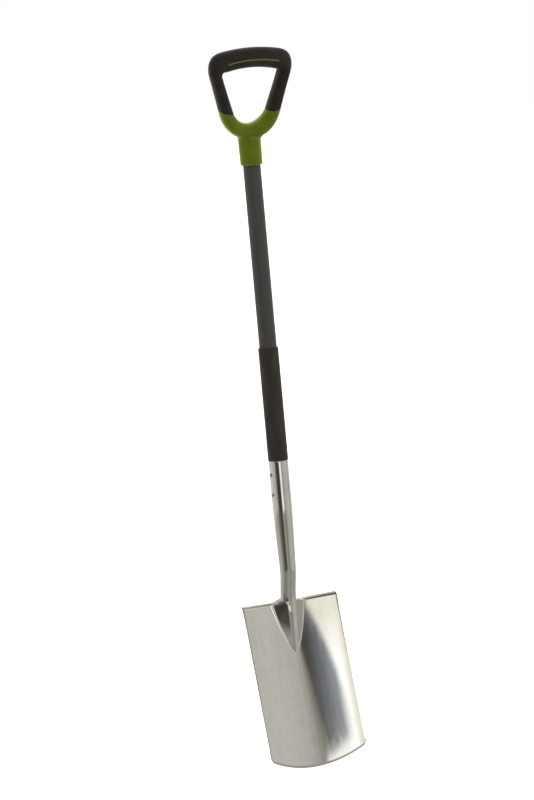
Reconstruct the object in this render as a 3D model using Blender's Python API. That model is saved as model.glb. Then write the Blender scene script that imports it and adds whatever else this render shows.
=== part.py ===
# Digging spade with a dished stainless blade, a tapered stainless socket, a coated
# tubular steel shaft, a soft sleeve grip and a two-colour D handle.
# Metres, +Z up along the shaft, the dished front of the blade faces -Y.
# The origin is the middle of the grip bar's underside, where the spade hangs on a hook.
import math

import bmesh
import bpy
import numpy as np
from mathutils import Vector

# Clearances
TOUCH_GAP = 0.0003
FIT_GAP = 0.0003

# Shaft
SHAFT_RADIUS = 0.0144
SHAFT_WALL = 0.0015
SHAFT_IN_SOCKET = 0.085
SHAFT_IN_FERRULE = 0.036
SHAFT_VISIBLE_LENGTH = 0.2978
TUBE_END_BEVEL = 0.0004

# Sleeve grip, seated on the socket's upper end
SLEEVE_LENGTH = 0.1852
SLEEVE_WALL = 0.0018
SLEEVE_END_ROUNDING = 0.0012

# Tapered socket, from its upper end down to the blade
SOCKET_WALL = 0.0014
SOCKET_STRAIGHT = 0.066
SOCKET_TAPER_LENGTH = 0.155
SOCKET_LENGTH = 0.2337
NECK_RADIUS = 0.0130
NECK_SET_BACK = 0.0078
NECK_BEND_LENGTH = 0.058
FLARE_HEIGHT = 0.0095
FLARE_REACH = 0.0150
FLARE_ANGLE = math.radians(122)
FLARE_SPREAD = math.radians(38)

# Rivets through the socket and the shaft
RIVET_SHANK_RADIUS = 0.0021
RIVET_HEAD_RADIUS = 0.0030
RIVET_HEAD_HEIGHT = 0.0010
RIVET_UPPER_DROP = 0.0227
RIVET_SPACING = 0.033

# Blade, pressed from one sheet
SHEET_THICKNESS = 0.0018
EDGE_THICKNESS = 0.0007
EDGE_GRIND_LENGTH = 0.006
BLADE_LENGTH = 0.2758
BLADE_WIDTH_TOP = 0.180
BLADE_WIDTH_BOTTOM = 0.1825
BLADE_TILT = math.radians(12)
BLADE_DISH = 0.0125
EDGE_RADIUS = 0.205
CORNER_RADIUS = 0.004
TREAD_DEPTH = 0.0095
TREAD_BEND_RADIUS = 0.0055
TREAD_INNER_BEND_RADIUS = 0.0030
TREAD_INNER_END = 0.028
TREAD_RUN_OUT = 0.008
TREAD_FULL_BEND = 0.038
TREAD_RISE_START = 0.0283
TREAD_RISE_SLOPE = 0.0500

# Raised V where the neck runs out into the blade
RIDGE_HALF_WIDTH = 0.035
RIDGE_LENGTH = 0.086
RIDGE_WIDTH_POWER = 0.62
RIDGE_HEIGHT_POWER = 1.25
RIDGE_CREST_SHARE = 0.31
RIDGE_FILLET_SHARE = 0.18

# Ferrule of the handle
FERRULE_RADIUS = 0.0182
FERRULE_LENGTH = 0.041
FERRULE_LIP_ROUNDING = 0.0024
FERRULE_SHOULDER = 0.0006
FERRULE_DOME = 0.010

# Loop of the handle, measured along its own leaning plane
HANDLE_LEAN = math.radians(11.2)
YOKE_RADIUS = 0.0454
YOKE_BOTTOM = 0.0142
LEG_ANGLE = math.radians(17.9)
GRIP_CENTRE = 0.1345
GRIP_ARCH_RADIUS = 0.235
CORNER_BEND_RADIUS = 0.0197
CORNER_BULGE = 0.0046
CORNER_FILL = 0.0017
CORNER_PEAK = 0.62
CORNER_RUN_OUT = 0.21
LEG_HALF_WIDTH = 0.0094
LEG_HALF_DEPTH = 0.0122
LEG_BACK_EXTRA = 0.0027
LEG_SHEAR = 0.09
LEG_FOOT_EXTRA = 0.0017
YOKE_HALF_WIDTH = 0.0123
YOKE_BACK_EXTRA = 0.0068
YOKE_SHEAR = 0.195
GRIP_HALF_HEIGHT = 0.0162
GRIP_HALF_DEPTH = 0.0130
CORE_RADIUS = 0.0065
SECTION_POWER = 2.25
OVERMOULD_START_SLANT = 0.62
OVERMOULD_BACK_RISE = 0.22
OVERMOULD_START = 0.0026

# Green rib that shows through the overmould on the front of the grip
RIB_HALF_LENGTH = 0.048
RIB_BELOW_CENTRE = 0.0025
RIB_THICKNESS = 0.0024
RIB_RECESS = 0.0004

# Screw in the back of the ferrule
SCREW_HEIGHT = 0.020
SCREW_HEAD_RADIUS = 0.0042
SCREW_HEAD_HEIGHT = 0.0022
SCREW_SHANK_RADIUS = 0.0020
SCREW_SHANK_DEPTH = 0.0095
SCREW_RECESS_WIDTH = 0.0010
SCREW_RECESS_LENGTH = 0.0048
SCREW_RECESS_DEPTH = 0.0013

# Facets
ROUND_SIDES = 32
NECK_RINGS = 10
LOOP_SIDES = 20
YOKE_STATIONS = 8
BEND_STATIONS = 9
SMALL_SIDES = 20

# Derived places along the shaft; the ferrule's lower rim is at height zero
SLEEVE_TOP = -SHAFT_VISIBLE_LENGTH
SOCKET_TOP = SLEEVE_TOP - SLEEVE_LENGTH - TOUCH_GAP
BLADE_TOP = SOCKET_TOP - SOCKET_LENGTH - TOUCH_GAP
SOCKET_RADIUS = SHAFT_RADIUS + FIT_GAP + SOCKET_WALL
RIDGE_HEIGHT = NECK_RADIUS + 0.0072
BLADE_SET_BACK = NECK_SET_BACK - NECK_RADIUS + RIDGE_HEIGHT
HANDLE_BASE = Vector((0.0, 0.0, FERRULE_LENGTH))
HANDLE_UP = Vector((0.0, -math.sin(HANDLE_LEAN), math.cos(HANDLE_LEAN)))
HANDLE_FRONT = Vector((0.0, -math.cos(HANDLE_LEAN), -math.sin(HANDLE_LEAN)))
HANG_POINT = HANDLE_BASE + HANDLE_UP * (GRIP_CENTRE - GRIP_HALF_HEIGHT)


def smooth_step(value):
    """Zero below 0, one above 1, and a smooth rise between."""
    share = np.clip(value, 0.0, 1.0)
    return share * share * (3.0 - 2.0 * share)


def make_material(name, colour, roughness, metallic):
    material = bpy.data.materials.new(name)
    material.use_nodes = True
    shader = material.node_tree.nodes["Principled BSDF"]
    shader.inputs["Base Color"].default_value = (*colour, 1.0)
    shader.inputs["Roughness"].default_value = roughness
    shader.inputs["Metallic"].default_value = metallic
    material.diffuse_color = (*colour, 1.0)
    return material


def add_object(name, points, faces, material, parent):
    """An object of the given points and faces, with all its faces turned outwards."""
    mesh = bpy.data.meshes.new(name)
    mesh.from_pydata([tuple(map(float, point)) for point in points], [], faces)
    shape = bmesh.new()
    shape.from_mesh(mesh)
    bmesh.ops.recalc_face_normals(shape, faces=shape.faces)
    shape.to_mesh(mesh)
    shape.free()
    mesh.shade_smooth()
    mesh.set_sharp_from_angle(angle=math.radians(35))
    if material:
        mesh.materials.append(material)
    new_object = bpy.data.objects.new(name, mesh)
    bpy.context.scene.collection.objects.link(new_object)
    new_object.parent = parent
    return new_object


def ring_faces(count, sides, cyclic):
    """Quads between neighbouring rings, and end caps if the row of rings is open."""
    faces = []
    for ring in range(count if cyclic else count - 1):
        after = (ring + 1) % count
        for side in range(sides):
            beside = (side + 1) % sides
            low = ring * sides
            high = after * sides
            faces.append((low + side, low + beside, high + beside, high + side))
    if not cyclic:
        faces.append(tuple(range(sides)))
        faces.append(tuple((count - 1) * sides + side for side in range(sides)))
    return faces


def add_rings(name, rings, material, parent, cyclic=False):
    """A body skinned over rings of equally many points; cyclic rings make a tube with a bore."""
    points = [point for ring in rings for point in ring]
    return add_object(name, points, ring_faces(len(rings), len(rings[0]), cyclic), material, parent)


def circle(radius, height, sides=ROUND_SIDES):
    angles = [2.0 * math.pi * side / sides for side in range(sides)]
    return [(radius * math.sin(angle), -radius * math.cos(angle), height) for angle in angles]


def add_turned(name, profile, material, parent, sides=ROUND_SIDES, cyclic=True):
    """A body turned about the shaft's axis from (radius, height) pairs."""
    rings = [circle(radius, height, sides) for radius, height in profile]
    return add_rings(name, rings, material, parent, cyclic)


def cut(target, cutter, operation="DIFFERENCE"):
    """A Boolean of the target with the cutter; a guide is hidden from the finished model."""
    cutter.hide_render = True
    cutter.display_type = "WIRE"
    boolean = target.modifiers.new(cutter.name, "BOOLEAN")
    boolean.operation = operation
    boolean.object = cutter
    boolean.solver = "EXACT"


def rounded_end(radius, height, rounding, outwards):
    """Three points of a rounded rim; outwards is +1 at an upper end and -1 at a lower end."""
    steps = [(0.0, 1.0), (0.293, 0.293), (1.0, 0.0)]
    return [(radius - rounding * inset, height - outwards * rounding * drop) for inset, drop in steps]


def tube_profile(outer, inner, low, high, rounding):
    """Closed outline of a tube's wall with eased rims, up the outside and down the bore."""
    lower_rim = rounded_end(outer, low, rounding, -1.0)
    upper_rim = rounded_end(outer, high, rounding, 1.0)
    return lower_rim[::-1] + upper_rim + [(inner, high), (inner, low)]


def add_shaft(material, parent):
    low = SOCKET_TOP - SHAFT_IN_SOCKET
    profile = tube_profile(SHAFT_RADIUS, SHAFT_RADIUS - SHAFT_WALL, low, SHAFT_IN_FERRULE, TUBE_END_BEVEL)
    return add_turned("shaft_tube", profile, material, parent)


def add_sleeve(material, parent):
    bore = SHAFT_RADIUS + FIT_GAP
    bottom = SLEEVE_TOP - SLEEVE_LENGTH
    profile = tube_profile(bore + SLEEVE_WALL, bore, bottom, SLEEVE_TOP, SLEEVE_END_ROUNDING)
    return add_turned("grip_sleeve", profile, material, parent)


def neck_offset(height):
    """How far the socket's centre line stands behind the shaft's axis at a height."""
    start = BLADE_TOP + NECK_BEND_LENGTH
    return NECK_SET_BACK * float(smooth_step((start - height) / NECK_BEND_LENGTH))


def neck_radius(height):
    """Outer radius: straight over the shaft, then a smooth taper, then the slim neck."""
    taper_start = SOCKET_TOP - SOCKET_STRAIGHT
    share = float(smooth_step((taper_start - height) / SOCKET_TAPER_LENGTH))
    return SOCKET_RADIUS + (NECK_RADIUS - SOCKET_RADIUS) * share


def flare_reach(angle, height):
    """Extra radius of the weld flare beside and behind the neck, angle measured from the front."""
    rise = max(0.0, 1.0 - (height - BLADE_TOP) / FLARE_HEIGHT)
    turn = abs(abs(math.remainder(angle, 2.0 * math.pi)) - FLARE_ANGLE)
    beside = 0.5 + 0.5 * math.cos(math.pi * min(1.0, turn / FLARE_SPREAD))
    return FLARE_REACH * rise * rise * beside


def neck_ring(height, inset):
    ring = []
    for side in range(ROUND_SIDES):
        angle = 2.0 * math.pi * side / ROUND_SIDES
        radius = neck_radius(height) - inset + flare_reach(angle, height)
        ring.append((radius * math.sin(angle), neck_offset(height) - radius * math.cos(angle), height))
    return ring


def add_socket(material, parent):
    foot = BLADE_TOP + TOUCH_GAP
    flare_top = BLADE_TOP + FLARE_HEIGHT
    heights = [SOCKET_TOP]
    heights += list(np.linspace(SOCKET_TOP - SOCKET_STRAIGHT, flare_top, NECK_RINGS))
    heights += [foot + (flare_top - foot) * share for share in (0.7, 0.45, 0.25, 0.1, 0.0)]
    outside = [neck_ring(height, 0.0) for height in heights]
    inside = [neck_ring(height, SOCKET_WALL) for height in reversed(heights)]
    return add_rings("neck_socket", outside + inside, material, parent, cyclic=True)


def rivet_heights():
    first = SOCKET_TOP - RIVET_UPPER_DROP
    return first, first - RIVET_SPACING


def across(point, height):
    """Turns a point of a body along the shaft's axis to lie along X at the given height."""
    x, y, z = point
    return z, y, height - x


def add_rivet(name, height, material, parent):
    """A round-headed rivet right through the socket and the shaft, with dished heads."""
    seat = SOCKET_RADIUS + TOUCH_GAP
    top = seat + RIVET_HEAD_HEIGHT
    head = [
        (RIVET_SHANK_RADIUS, seat),
        (RIVET_HEAD_RADIUS, seat),
        (RIVET_HEAD_RADIUS * 0.93, seat + 0.6 * RIVET_HEAD_HEIGHT),
        (RIVET_HEAD_RADIUS * 0.62, top),
        (RIVET_HEAD_RADIUS * 0.40, top),
        (RIVET_HEAD_RADIUS * 0.34, top - 0.4 * RIVET_HEAD_HEIGHT),
    ]
    profile = [(radius, -along) for radius, along in reversed(head)] + head
    circles = [circle(radius, along, SMALL_SIDES) for radius, along in profile]
    rings = [[across(point, height) for point in ring] for ring in circles]
    return add_rings(name, rings, material, parent)


def add_rivet_hole(name, height, parent):
    reach = 2.0 * SOCKET_RADIUS
    rings = []
    for along in (-reach, reach):
        ring = circle(RIVET_SHANK_RADIUS + FIT_GAP, along, SMALL_SIDES)
        rings.append([across(point, height) for point in ring])
    return add_rings(name, rings, None, parent)


def ridge_profile(share):
    """Height of the raised V across its half width, 1 at the crest and 0 at the rim.

    A parabola rounds the crest, another rounds the foot, and a straight flank joins them.
    """
    crest, fillet = RIDGE_CREST_SHARE, RIDGE_FILLET_SHARE
    slope = 1.0 / (1.0 - 0.5 * crest - 0.5 * fillet)
    share = np.clip(share, 0.0, 1.0)
    top = 1.0 - slope * share**2 / (2.0 * crest)
    flank = 1.0 - slope * crest / 2.0 - slope * (share - crest)
    foot = slope * (1.0 - share) ** 2 / (2.0 * fillet)
    return np.where(share < crest, top, np.where(share > 1.0 - fillet, foot, flank))


def ridge_half_width(down):
    left = np.clip(1.0 - down / RIDGE_LENGTH, 0.0, None)
    return RIDGE_HALF_WIDTH * left**RIDGE_WIDTH_POWER


def ridge_height(down):
    share = np.clip(down / RIDGE_LENGTH, 0.0, 1.0)
    return RIDGE_HEIGHT * (1.0 - share**RIDGE_HEIGHT_POWER)


def blade_half_width(down):
    share = down / BLADE_LENGTH
    return 0.5 * (BLADE_WIDTH_TOP + (BLADE_WIDTH_BOTTOM - BLADE_WIDTH_TOP) * share)


def blade_front(x, down):
    """Point of the blade's front face at a place across and down the blade."""
    dish = BLADE_DISH * (2.0 * x / BLADE_WIDTH_TOP) ** 2
    raised = ridge_height(down) * ridge_profile(np.abs(x) / np.maximum(ridge_half_width(down), 1e-6))
    forward = dish + raised
    tilt_sine, tilt_cosine = math.sin(BLADE_TILT), math.cos(BLADE_TILT)
    y = BLADE_SET_BACK - down * tilt_sine - forward * tilt_cosine
    z = BLADE_TOP - down * tilt_cosine + forward * tilt_sine
    return np.stack([x, y, z], axis=-1)


def lower_end(x, half_width):
    """Length of the blade at a place across it: a round cutting edge with eased corners."""
    arc = BLADE_LENGTH - EDGE_RADIUS + np.sqrt(EDGE_RADIUS**2 - x**2)
    inset = np.clip(np.abs(x) - (half_width - CORNER_RADIUS), 0.0, CORNER_RADIUS)
    return arc - (CORNER_RADIUS - np.sqrt(CORNER_RADIUS**2 - inset**2))


def blade_columns():
    """Shares across the blade: 0 to 1 over the raised V, 1 to 2 from its rim to the blade's side."""
    ridge = [0.0, 0.12, 0.24, 0.36, 0.5, 0.65, 0.8, 0.88, 0.95, 1.0]
    plain = [1.08, 1.2, 1.36, 1.54, 1.72, 1.86, 1.94, 1.975, 2.0]
    half = ridge + plain
    return np.array([-share for share in reversed(half[1:])] + half)


def across_blade(columns, down):
    """X of every column at a distance down the blade, keeping columns on the rim of the V."""
    half_width = blade_half_width(down)
    narrow = 0.010
    rim = np.sqrt(ridge_half_width(np.minimum(down, RIDGE_LENGTH)) ** 2 + narrow**2)
    spread = rim + (0.35 * half_width - narrow) * smooth_step((down - RIDGE_LENGTH) / 0.09)
    size = np.abs(columns)
    inner = size * spread
    outer = spread + (size - 1.0) * (half_width - spread)
    return np.sign(columns) * np.where(size <= 1.0, inner, outer)


def top_height(x):
    """Height of the blade's top edge: level behind the V, then a straight rise to each side."""
    return BLADE_TOP + TREAD_RISE_SLOPE * np.maximum(0.0, np.abs(x) - TREAD_RISE_START)


def bend_radius(x):
    """Outer radius of the tread's fold: tight beside the V, full size further out."""
    share = smooth_step((np.abs(x) - TREAD_INNER_END) / (TREAD_FULL_BEND - TREAD_INNER_END))
    return TREAD_INNER_BEND_RADIUS + (TREAD_BEND_RADIUS - TREAD_INNER_BEND_RADIUS) * share


def tread_back(x):
    """Place of the tread's rear edge, one tread depth behind the dished sheet."""
    dish = BLADE_DISH * (2.0 * x / BLADE_WIDTH_TOP) ** 2
    return BLADE_SET_BACK - dish * math.cos(BLADE_TILT) + TREAD_DEPTH


def first_row(columns):
    """Distance down the blade at which each column's front face reaches the top edge.

    The dish and the raised V lift the sheet as they push it forward, so each column starts
    further down the blade by that lift over the cosine of the tilt.
    """
    down = np.zeros_like(columns)
    for _ in range(30):
        x = across_blade(columns, down)
        lift = blade_front(x, down)[:, 2] - top_height(x)
        down = down + lift / math.cos(BLADE_TILT)
    return down


def blade_rows():
    """Front-face points of the whole sheet, row by row from the tread's rear edge down."""
    columns = blade_columns()
    start = first_row(columns)
    fold_turn = 0.5 * math.pi - BLADE_TILT
    x_top = across_blade(columns, start)
    radius = bend_radius(x_top)
    bend_start = start + radius * (1.0 - math.sin(BLADE_TILT)) / math.cos(BLADE_TILT)
    folded = smooth_step((np.abs(x_top) - (TREAD_INNER_END - TREAD_RUN_OUT)) / TREAD_RUN_OUT)
    foot = blade_front(across_blade(columns, bend_start), bend_start)
    head = blade_front(x_top, start)
    rows = []
    centre_y = foot[:, 1] + radius * math.cos(BLADE_TILT)
    centre_z = top_height(x_top) - radius
    for step, turn in enumerate(np.linspace(1.0, 0.0, 5)):
        angle = BLADE_TILT + fold_turn * turn
        bent = foot.copy()
        bent[:, 1] = centre_y - radius * math.cos(angle)
        bent[:, 2] = centre_z + radius * math.sin(angle)
        if step == 0:
            plate = bent.copy()
            plate[:, 1] = tread_back(x_top)
            rows.append(mix_rows(head, plate, folded))
        share = 0.8 * turn
        straight = foot + (head - foot) * share
        rows.append(mix_rows(straight, bent, folded))
    shares = np.concatenate([
        np.array([0.02, 0.05, 0.09, 0.13, 0.17, 0.21, 0.245, 0.275, 0.30, 0.32, 0.36, 0.42]),
        np.array([0.5, 0.6, 0.7, 0.8, 0.89, 0.955, 1.0]),
    ])
    for share in shares:
        down = bend_start
        for _ in range(8):
            x = across_blade(columns, down)
            end = lower_end(x, blade_half_width(down))
            down = bend_start + (end - bend_start) * share
        rows.append(blade_front(across_blade(columns, down), down))
    return np.array(rows)


def mix_rows(plain, bent, share):
    return plain + (bent - plain) * share[:, None]


def grid_normals(grid):
    """Unit normals of a grid of points, facing the front of the blade."""
    along = np.gradient(grid, axis=0)
    side = np.gradient(grid, axis=1)
    normal = np.cross(along, side)
    return normal / np.linalg.norm(normal, axis=2, keepdims=True)


def add_blade(material, parent):
    """The sheet between its front face and a back face one thickness behind it."""
    front = blade_rows()
    row_count, column_count = front.shape[:2]
    normals = grid_normals(front)
    from_edge = np.linalg.norm(front - front[-1:], axis=2)
    ground = np.clip(from_edge / EDGE_GRIND_LENGTH, 0, 1)
    thickness = EDGE_THICKNESS + (SHEET_THICKNESS - EDGE_THICKNESS) * ground
    back = front - normals * thickness[:, :, None]
    back[0, :, :] = flatten_tread_edge(front[0], back[0])
    points = np.concatenate([front.reshape(-1, 3), back.reshape(-1, 3)])
    size = row_count * column_count
    faces = []
    for row in range(row_count - 1):
        for column in range(column_count - 1):
            corner = row * column_count + column
            quad = (corner, corner + 1, corner + column_count + 1, corner + column_count)
            faces.append(quad)
            faces.append(tuple(size + index for index in reversed(quad)))
    border = [column for column in range(column_count)]
    border += [row * column_count + column_count - 1 for row in range(1, row_count)]
    border += [(row_count - 1) * column_count + column for column in range(column_count - 2, -1, -1)]
    border += [row * column_count for row in range(row_count - 2, 0, -1)]
    for index, corner in enumerate(border):
        after = border[(index + 1) % len(border)]
        faces.append((corner, after, size + after, size + corner))
    return add_object("blade", points, faces, material, parent)


def flatten_tread_edge(front_edge, back_edge):
    """Keeps the sheet's top edge square to the tread, so no point of it stands above the tread."""
    edge = back_edge.copy()
    edge[:, 2] = np.minimum(edge[:, 2], front_edge[:, 2])
    return edge


def loop_corner():
    """Centre of the corner bend: beside the leg's line and inside the arch of the grip bar."""
    leg = np.array([math.sin(LEG_ANGLE), math.cos(LEG_ANGLE)])
    inward = np.array([-math.cos(LEG_ANGLE), math.sin(LEG_ANGLE)])
    turn = 0.5 * math.pi - LEG_ANGLE
    leg_start = np.array([YOKE_RADIUS * math.sin(turn), YOKE_BOTTOM + YOKE_RADIUS * (1.0 - math.cos(turn))])
    arch_centre = np.array([0.0, GRIP_CENTRE - GRIP_ARCH_RADIUS])
    origin = leg_start + inward * CORNER_BEND_RADIUS - arch_centre
    reach = GRIP_ARCH_RADIUS - CORNER_BEND_RADIUS
    middle = float(origin @ leg)
    length = -middle + math.sqrt(middle**2 - float(origin @ origin) + reach**2)
    return leg_start, leg, arch_centre, leg_start + leg * length + inward * CORNER_BEND_RADIUS, length


def half_loop():
    """Stations of the loop's right half, from the yoke's bottom to the grip's middle.

    Each is (x, height, outward x, outward height, share): the centre line in the handle's
    plane, the direction away from the hand gap, and 0 on the legs to 1 on the grip bar.
    """
    leg_start, leg, arch_centre, bend_centre, leg_length = loop_corner()
    stations = []
    turn = 0.5 * math.pi - LEG_ANGLE
    for share in np.linspace(0.0, 0.8, YOKE_STATIONS):
        angle = turn * share
        outward = (math.sin(angle), -math.cos(angle))
        height = YOKE_BOTTOM + YOKE_RADIUS * (1.0 + outward[1])
        stations.append((YOKE_RADIUS * outward[0], height, *outward, 0.0))
    outward = (math.cos(LEG_ANGLE), -math.sin(LEG_ANGLE))
    for share in (0.0, 0.34, 0.68):
        place = leg_start + leg * leg_length * share
        stations.append((place[0], place[1], *outward, 0.0))
    bend_line = bend_centre - arch_centre
    bend_end = math.atan2(bend_line[1], bend_line[0])
    for share in np.linspace(0.0, 1.0, BEND_STATIONS):
        angle = -LEG_ANGLE + (bend_end + LEG_ANGLE) * share
        outward = (math.cos(angle), math.sin(angle))
        place = bend_centre + np.array(outward) * CORNER_BEND_RADIUS
        stations.append((place[0], place[1], *outward, share))
    for share in (0.12, 0.3, 0.5, 0.75, 1.0):
        angle = bend_end + (0.5 * math.pi - bend_end) * share
        outward = (math.cos(angle), math.sin(angle))
        place = arch_centre + np.array(outward) * GRIP_ARCH_RADIUS
        stations.append((place[0], place[1], *outward, 1.0))
    return stations


def whole_loop():
    """The right half, then its mirror image back down the left leg to the yoke."""
    right = half_loop()
    left = [(-x, t, -out_x, out_t, share) for x, t, out_x, out_t, share in reversed(right[1:-1])]
    return right + left


def in_handle(x, height, forward=0.0):
    """World place of a point given across, up and out of the handle's leaning plane."""
    return HANDLE_BASE + Vector((x, 0.0, 0.0)) + HANDLE_UP * height + HANDLE_FRONT * forward


def yoke_share(station):
    """One at the bottom of the yoke, falling to zero where the straight legs start."""
    return float(smooth_step((-station[3] - math.sin(LEG_ANGLE)) / (1.0 - math.sin(LEG_ANGLE))))


def leg_foot(station):
    """One on the yoke, falling along the straight leg by its square to zero at the corner bend."""
    leg_start, leg, _, _, length = loop_corner()
    left = 1.0 - (station[1] - leg_start[1]) / (leg[1] * length)
    return min(1.0, max(0.0, left)) ** 2


def grown_share(station):
    """Zero on the legs and one on the grip bar, with a smooth rise along the corner bend."""
    return float(smooth_step(station[4])) ** 1.3


def section_shear(station):
    """How far a section's outer side leans to the front, most at the yoke and none at the grip."""
    at_legs = LEG_SHEAR * (1.0 - grown_share(station))
    return at_legs + (YOKE_SHEAR - LEG_SHEAR) * yoke_share(station)


def in_bend(station):
    """How far a corner swells: a rise from the leg, a peak in the bend and a run-out on the grip."""
    if station[4] >= 1.0:
        _, _, arch_centre, bend_centre, _ = loop_corner()
        across, up = bend_centre - arch_centre
        arch_end = GRIP_ARCH_RADIUS * across / math.hypot(across, up)
        return CORNER_RUN_OUT * (station[0] / arch_end) ** 2
    if station[4] < CORNER_PEAK:
        return float(smooth_step(station[4] / CORNER_PEAK))
    fall = (station[4] - CORNER_PEAK) / (1.0 - CORNER_PEAK)
    swell = 1.0 - (1.0 - CORNER_RUN_OUT) * float(smooth_step(fall))
    return swell + 0.8 * CORNER_RUN_OUT * fall**2 * (1.0 - fall)


def loop_ring(station, size, slanted=False):
    """A soft-cornered section square to the loop, from its half width and its two half depths.

    A slanted ring lies in the tilted plane where green meets black: higher on the outer side
    and at the back.
    """
    x, height, out_x, out_height, _ = station
    half_width, front_depth, back_depth = size
    side_sign = 1.0 if x >= 0.0 else -1.0
    along_x, along_height = -out_height * side_sign, out_x * side_sign
    shear = section_shear(station)
    bend = in_bend(station) if half_width > LEG_HALF_WIDTH - TOUCH_GAP else 0.0
    ring = []
    for side in range(LOOP_SIDES):
        angle = 2.0 * math.pi * side / LOOP_SIDES
        cosine, sine = math.cos(angle), math.sin(angle)
        out = half_width * math.copysign(abs(cosine) ** (2.0 / SECTION_POWER), cosine)
        half_depth = front_depth if sine >= 0.0 else back_depth
        forward = half_depth * math.copysign(abs(sine) ** (2.0 / SECTION_POWER), sine)
        slide = OVERMOULD_START_SLANT * out - OVERMOULD_BACK_RISE * forward if slanted else 0.0
        forward += shear * out
        out += bend * CORNER_BULGE * max(0.0, cosine) ** 1.5
        out -= bend * CORNER_FILL * max(0.0, -cosine) ** 1.5
        ring.append(in_handle(
            x + out_x * out + along_x * slide,
            height + out_height * out + along_height * slide,
            forward,
        ))
    return ring


def outer_size(station):
    """Half width, half depth to the front and half depth to the back of the loop at a station."""
    share = grown_share(station)
    half_width = LEG_HALF_WIDTH + (GRIP_HALF_HEIGHT - LEG_HALF_WIDTH) * share
    half_width += (YOKE_HALF_WIDTH - LEG_HALF_WIDTH - LEG_FOOT_EXTRA) * yoke_share(station)
    half_width += LEG_FOOT_EXTRA * leg_foot(station)
    half_depth = LEG_HALF_DEPTH + (GRIP_HALF_DEPTH - LEG_HALF_DEPTH) * share
    extra = LEG_BACK_EXTRA * (1.0 - share) + (YOKE_BACK_EXTRA - LEG_BACK_EXTRA) * yoke_share(station)
    return half_width, half_depth, half_depth + extra


def leg_station(distance, right):
    """A station on a leg at a distance up from the end of the yoke's bend."""
    leg_start, leg, _, _, _ = loop_corner()
    place = leg_start + leg * distance
    out_x, out_height = math.cos(LEG_ANGLE), -math.sin(LEG_ANGLE)
    if right:
        return place[0], place[1], out_x, out_height, 0.0
    return -place[0], place[1], -out_x, out_height, 0.0


def covered_stations():
    """Stations under the overmould, from the right leg over the grip to the left leg."""
    stations = whole_loop()
    first = YOKE_STATIONS + 1
    return stations[first:len(stations) - first + 1]


def add_overmould(material, parent):
    """Soft cover round the core, open at both legs, with a slot over the green rib."""
    covered = covered_stations()
    slope = math.sqrt(1.0 + OVERMOULD_START_SLANT**2 + OVERMOULD_BACK_RISE**2)
    start = OVERMOULD_START + TOUCH_GAP * slope
    ends = (leg_station(start, True), leg_station(start, False))
    bore = (CORE_RADIUS + FIT_GAP, CORE_RADIUS + FIT_GAP, CORE_RADIUS + FIT_GAP)
    outside = [loop_ring(ends[0], outer_size(ends[0]), True)]
    outside += [loop_ring(station, outer_size(station)) for station in covered]
    outside += [loop_ring(ends[1], outer_size(ends[1]), True)]
    inside = [loop_ring(ends[0], bore, True)]
    inside += [loop_ring(station, bore) for station in covered]
    inside += [loop_ring(ends[1], bore, True)]
    return add_rings("grip_overmould", outside + inside[::-1], material, parent, cyclic=True)


def add_rib(name, clearance, outer_face, parent):
    """A thin bar along the front of the grip, following its arch."""
    _, _, arch_centre, _, _ = loop_corner()
    half_angle = (RIB_HALF_LENGTH + clearance) / GRIP_ARCH_RADIUS
    half = 0.5 * RIB_THICKNESS + clearance
    rings = []
    for angle in np.linspace(-half_angle, half_angle, 15):
        ring = []
        for offset, forward in ((-half, 0.0), (half, 0.0), (half, outer_face), (-half, outer_face)):
            radius = GRIP_ARCH_RADIUS - RIB_BELOW_CENTRE + offset
            height = arch_centre[1] + radius * math.cos(angle)
            ring.append(in_handle(radius * math.sin(angle), height, forward))
        rings.append(ring)
    return add_rings(name, rings, None, parent)


def add_ferrule(parent):
    """Round foot of the handle with a blind bore for the shaft."""
    bore = SHAFT_RADIUS + FIT_GAP
    bore_end = SHAFT_IN_FERRULE + TOUCH_GAP
    lip = rounded_end(FERRULE_RADIUS, 0.0, FERRULE_LIP_ROUNDING, -1.0)[::-1]
    profile = [(bore * 0.05, bore_end), (bore, bore_end), (bore, 0.0)] + lip
    top = FERRULE_LENGTH + FERRULE_DOME
    shoulder = FERRULE_RADIUS + FERRULE_SHOULDER
    profile += [(shoulder, FERRULE_LENGTH), (shoulder, FERRULE_LENGTH + 0.35 * FERRULE_DOME)]
    profile += [(FERRULE_RADIUS * 0.85, FERRULE_LENGTH + 0.75 * FERRULE_DOME)]
    profile += [(FERRULE_RADIUS * 0.55, top), (FERRULE_RADIUS * 0.05, top)]
    return add_turned("ferrule_body", profile, None, parent, cyclic=False)


def add_core(material, parent):
    """Handle core: yoke at full size, then a slim loop inside the overmould."""
    stations = whole_loop()
    yoke_right = stations[:YOKE_STATIONS]
    yoke_left = stations[len(stations) - YOKE_STATIONS + 1:]
    ends = (leg_station(OVERMOULD_START, True), leg_station(OVERMOULD_START, False))
    slim = (CORE_RADIUS, CORE_RADIUS, CORE_RADIUS)
    rings = [loop_ring(station, outer_size(station)) for station in yoke_right]
    rings.append(loop_ring(ends[0], outer_size(ends[0]), True))
    rings.append(loop_ring(ends[0], slim, True))
    rings += [loop_ring(station, slim) for station in covered_stations()]
    rings.append(loop_ring(ends[1], slim, True))
    rings.append(loop_ring(ends[1], outer_size(ends[1]), True))
    rings += [loop_ring(station, outer_size(station)) for station in yoke_left]
    core = add_rings("handle_core", rings, material, parent, cyclic=True)
    cut(core, add_ferrule(parent), "UNION")
    rib_face = GRIP_HALF_DEPTH - RIB_RECESS
    cut(core, add_rib("rib_body", 0.0, rib_face, parent), "UNION")
    return core


def behind(point):
    """Turns a point of a body along the shaft's axis to lie along Y at the screw's height."""
    x, y, z = point
    return x, z, SCREW_HEIGHT - y


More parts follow.
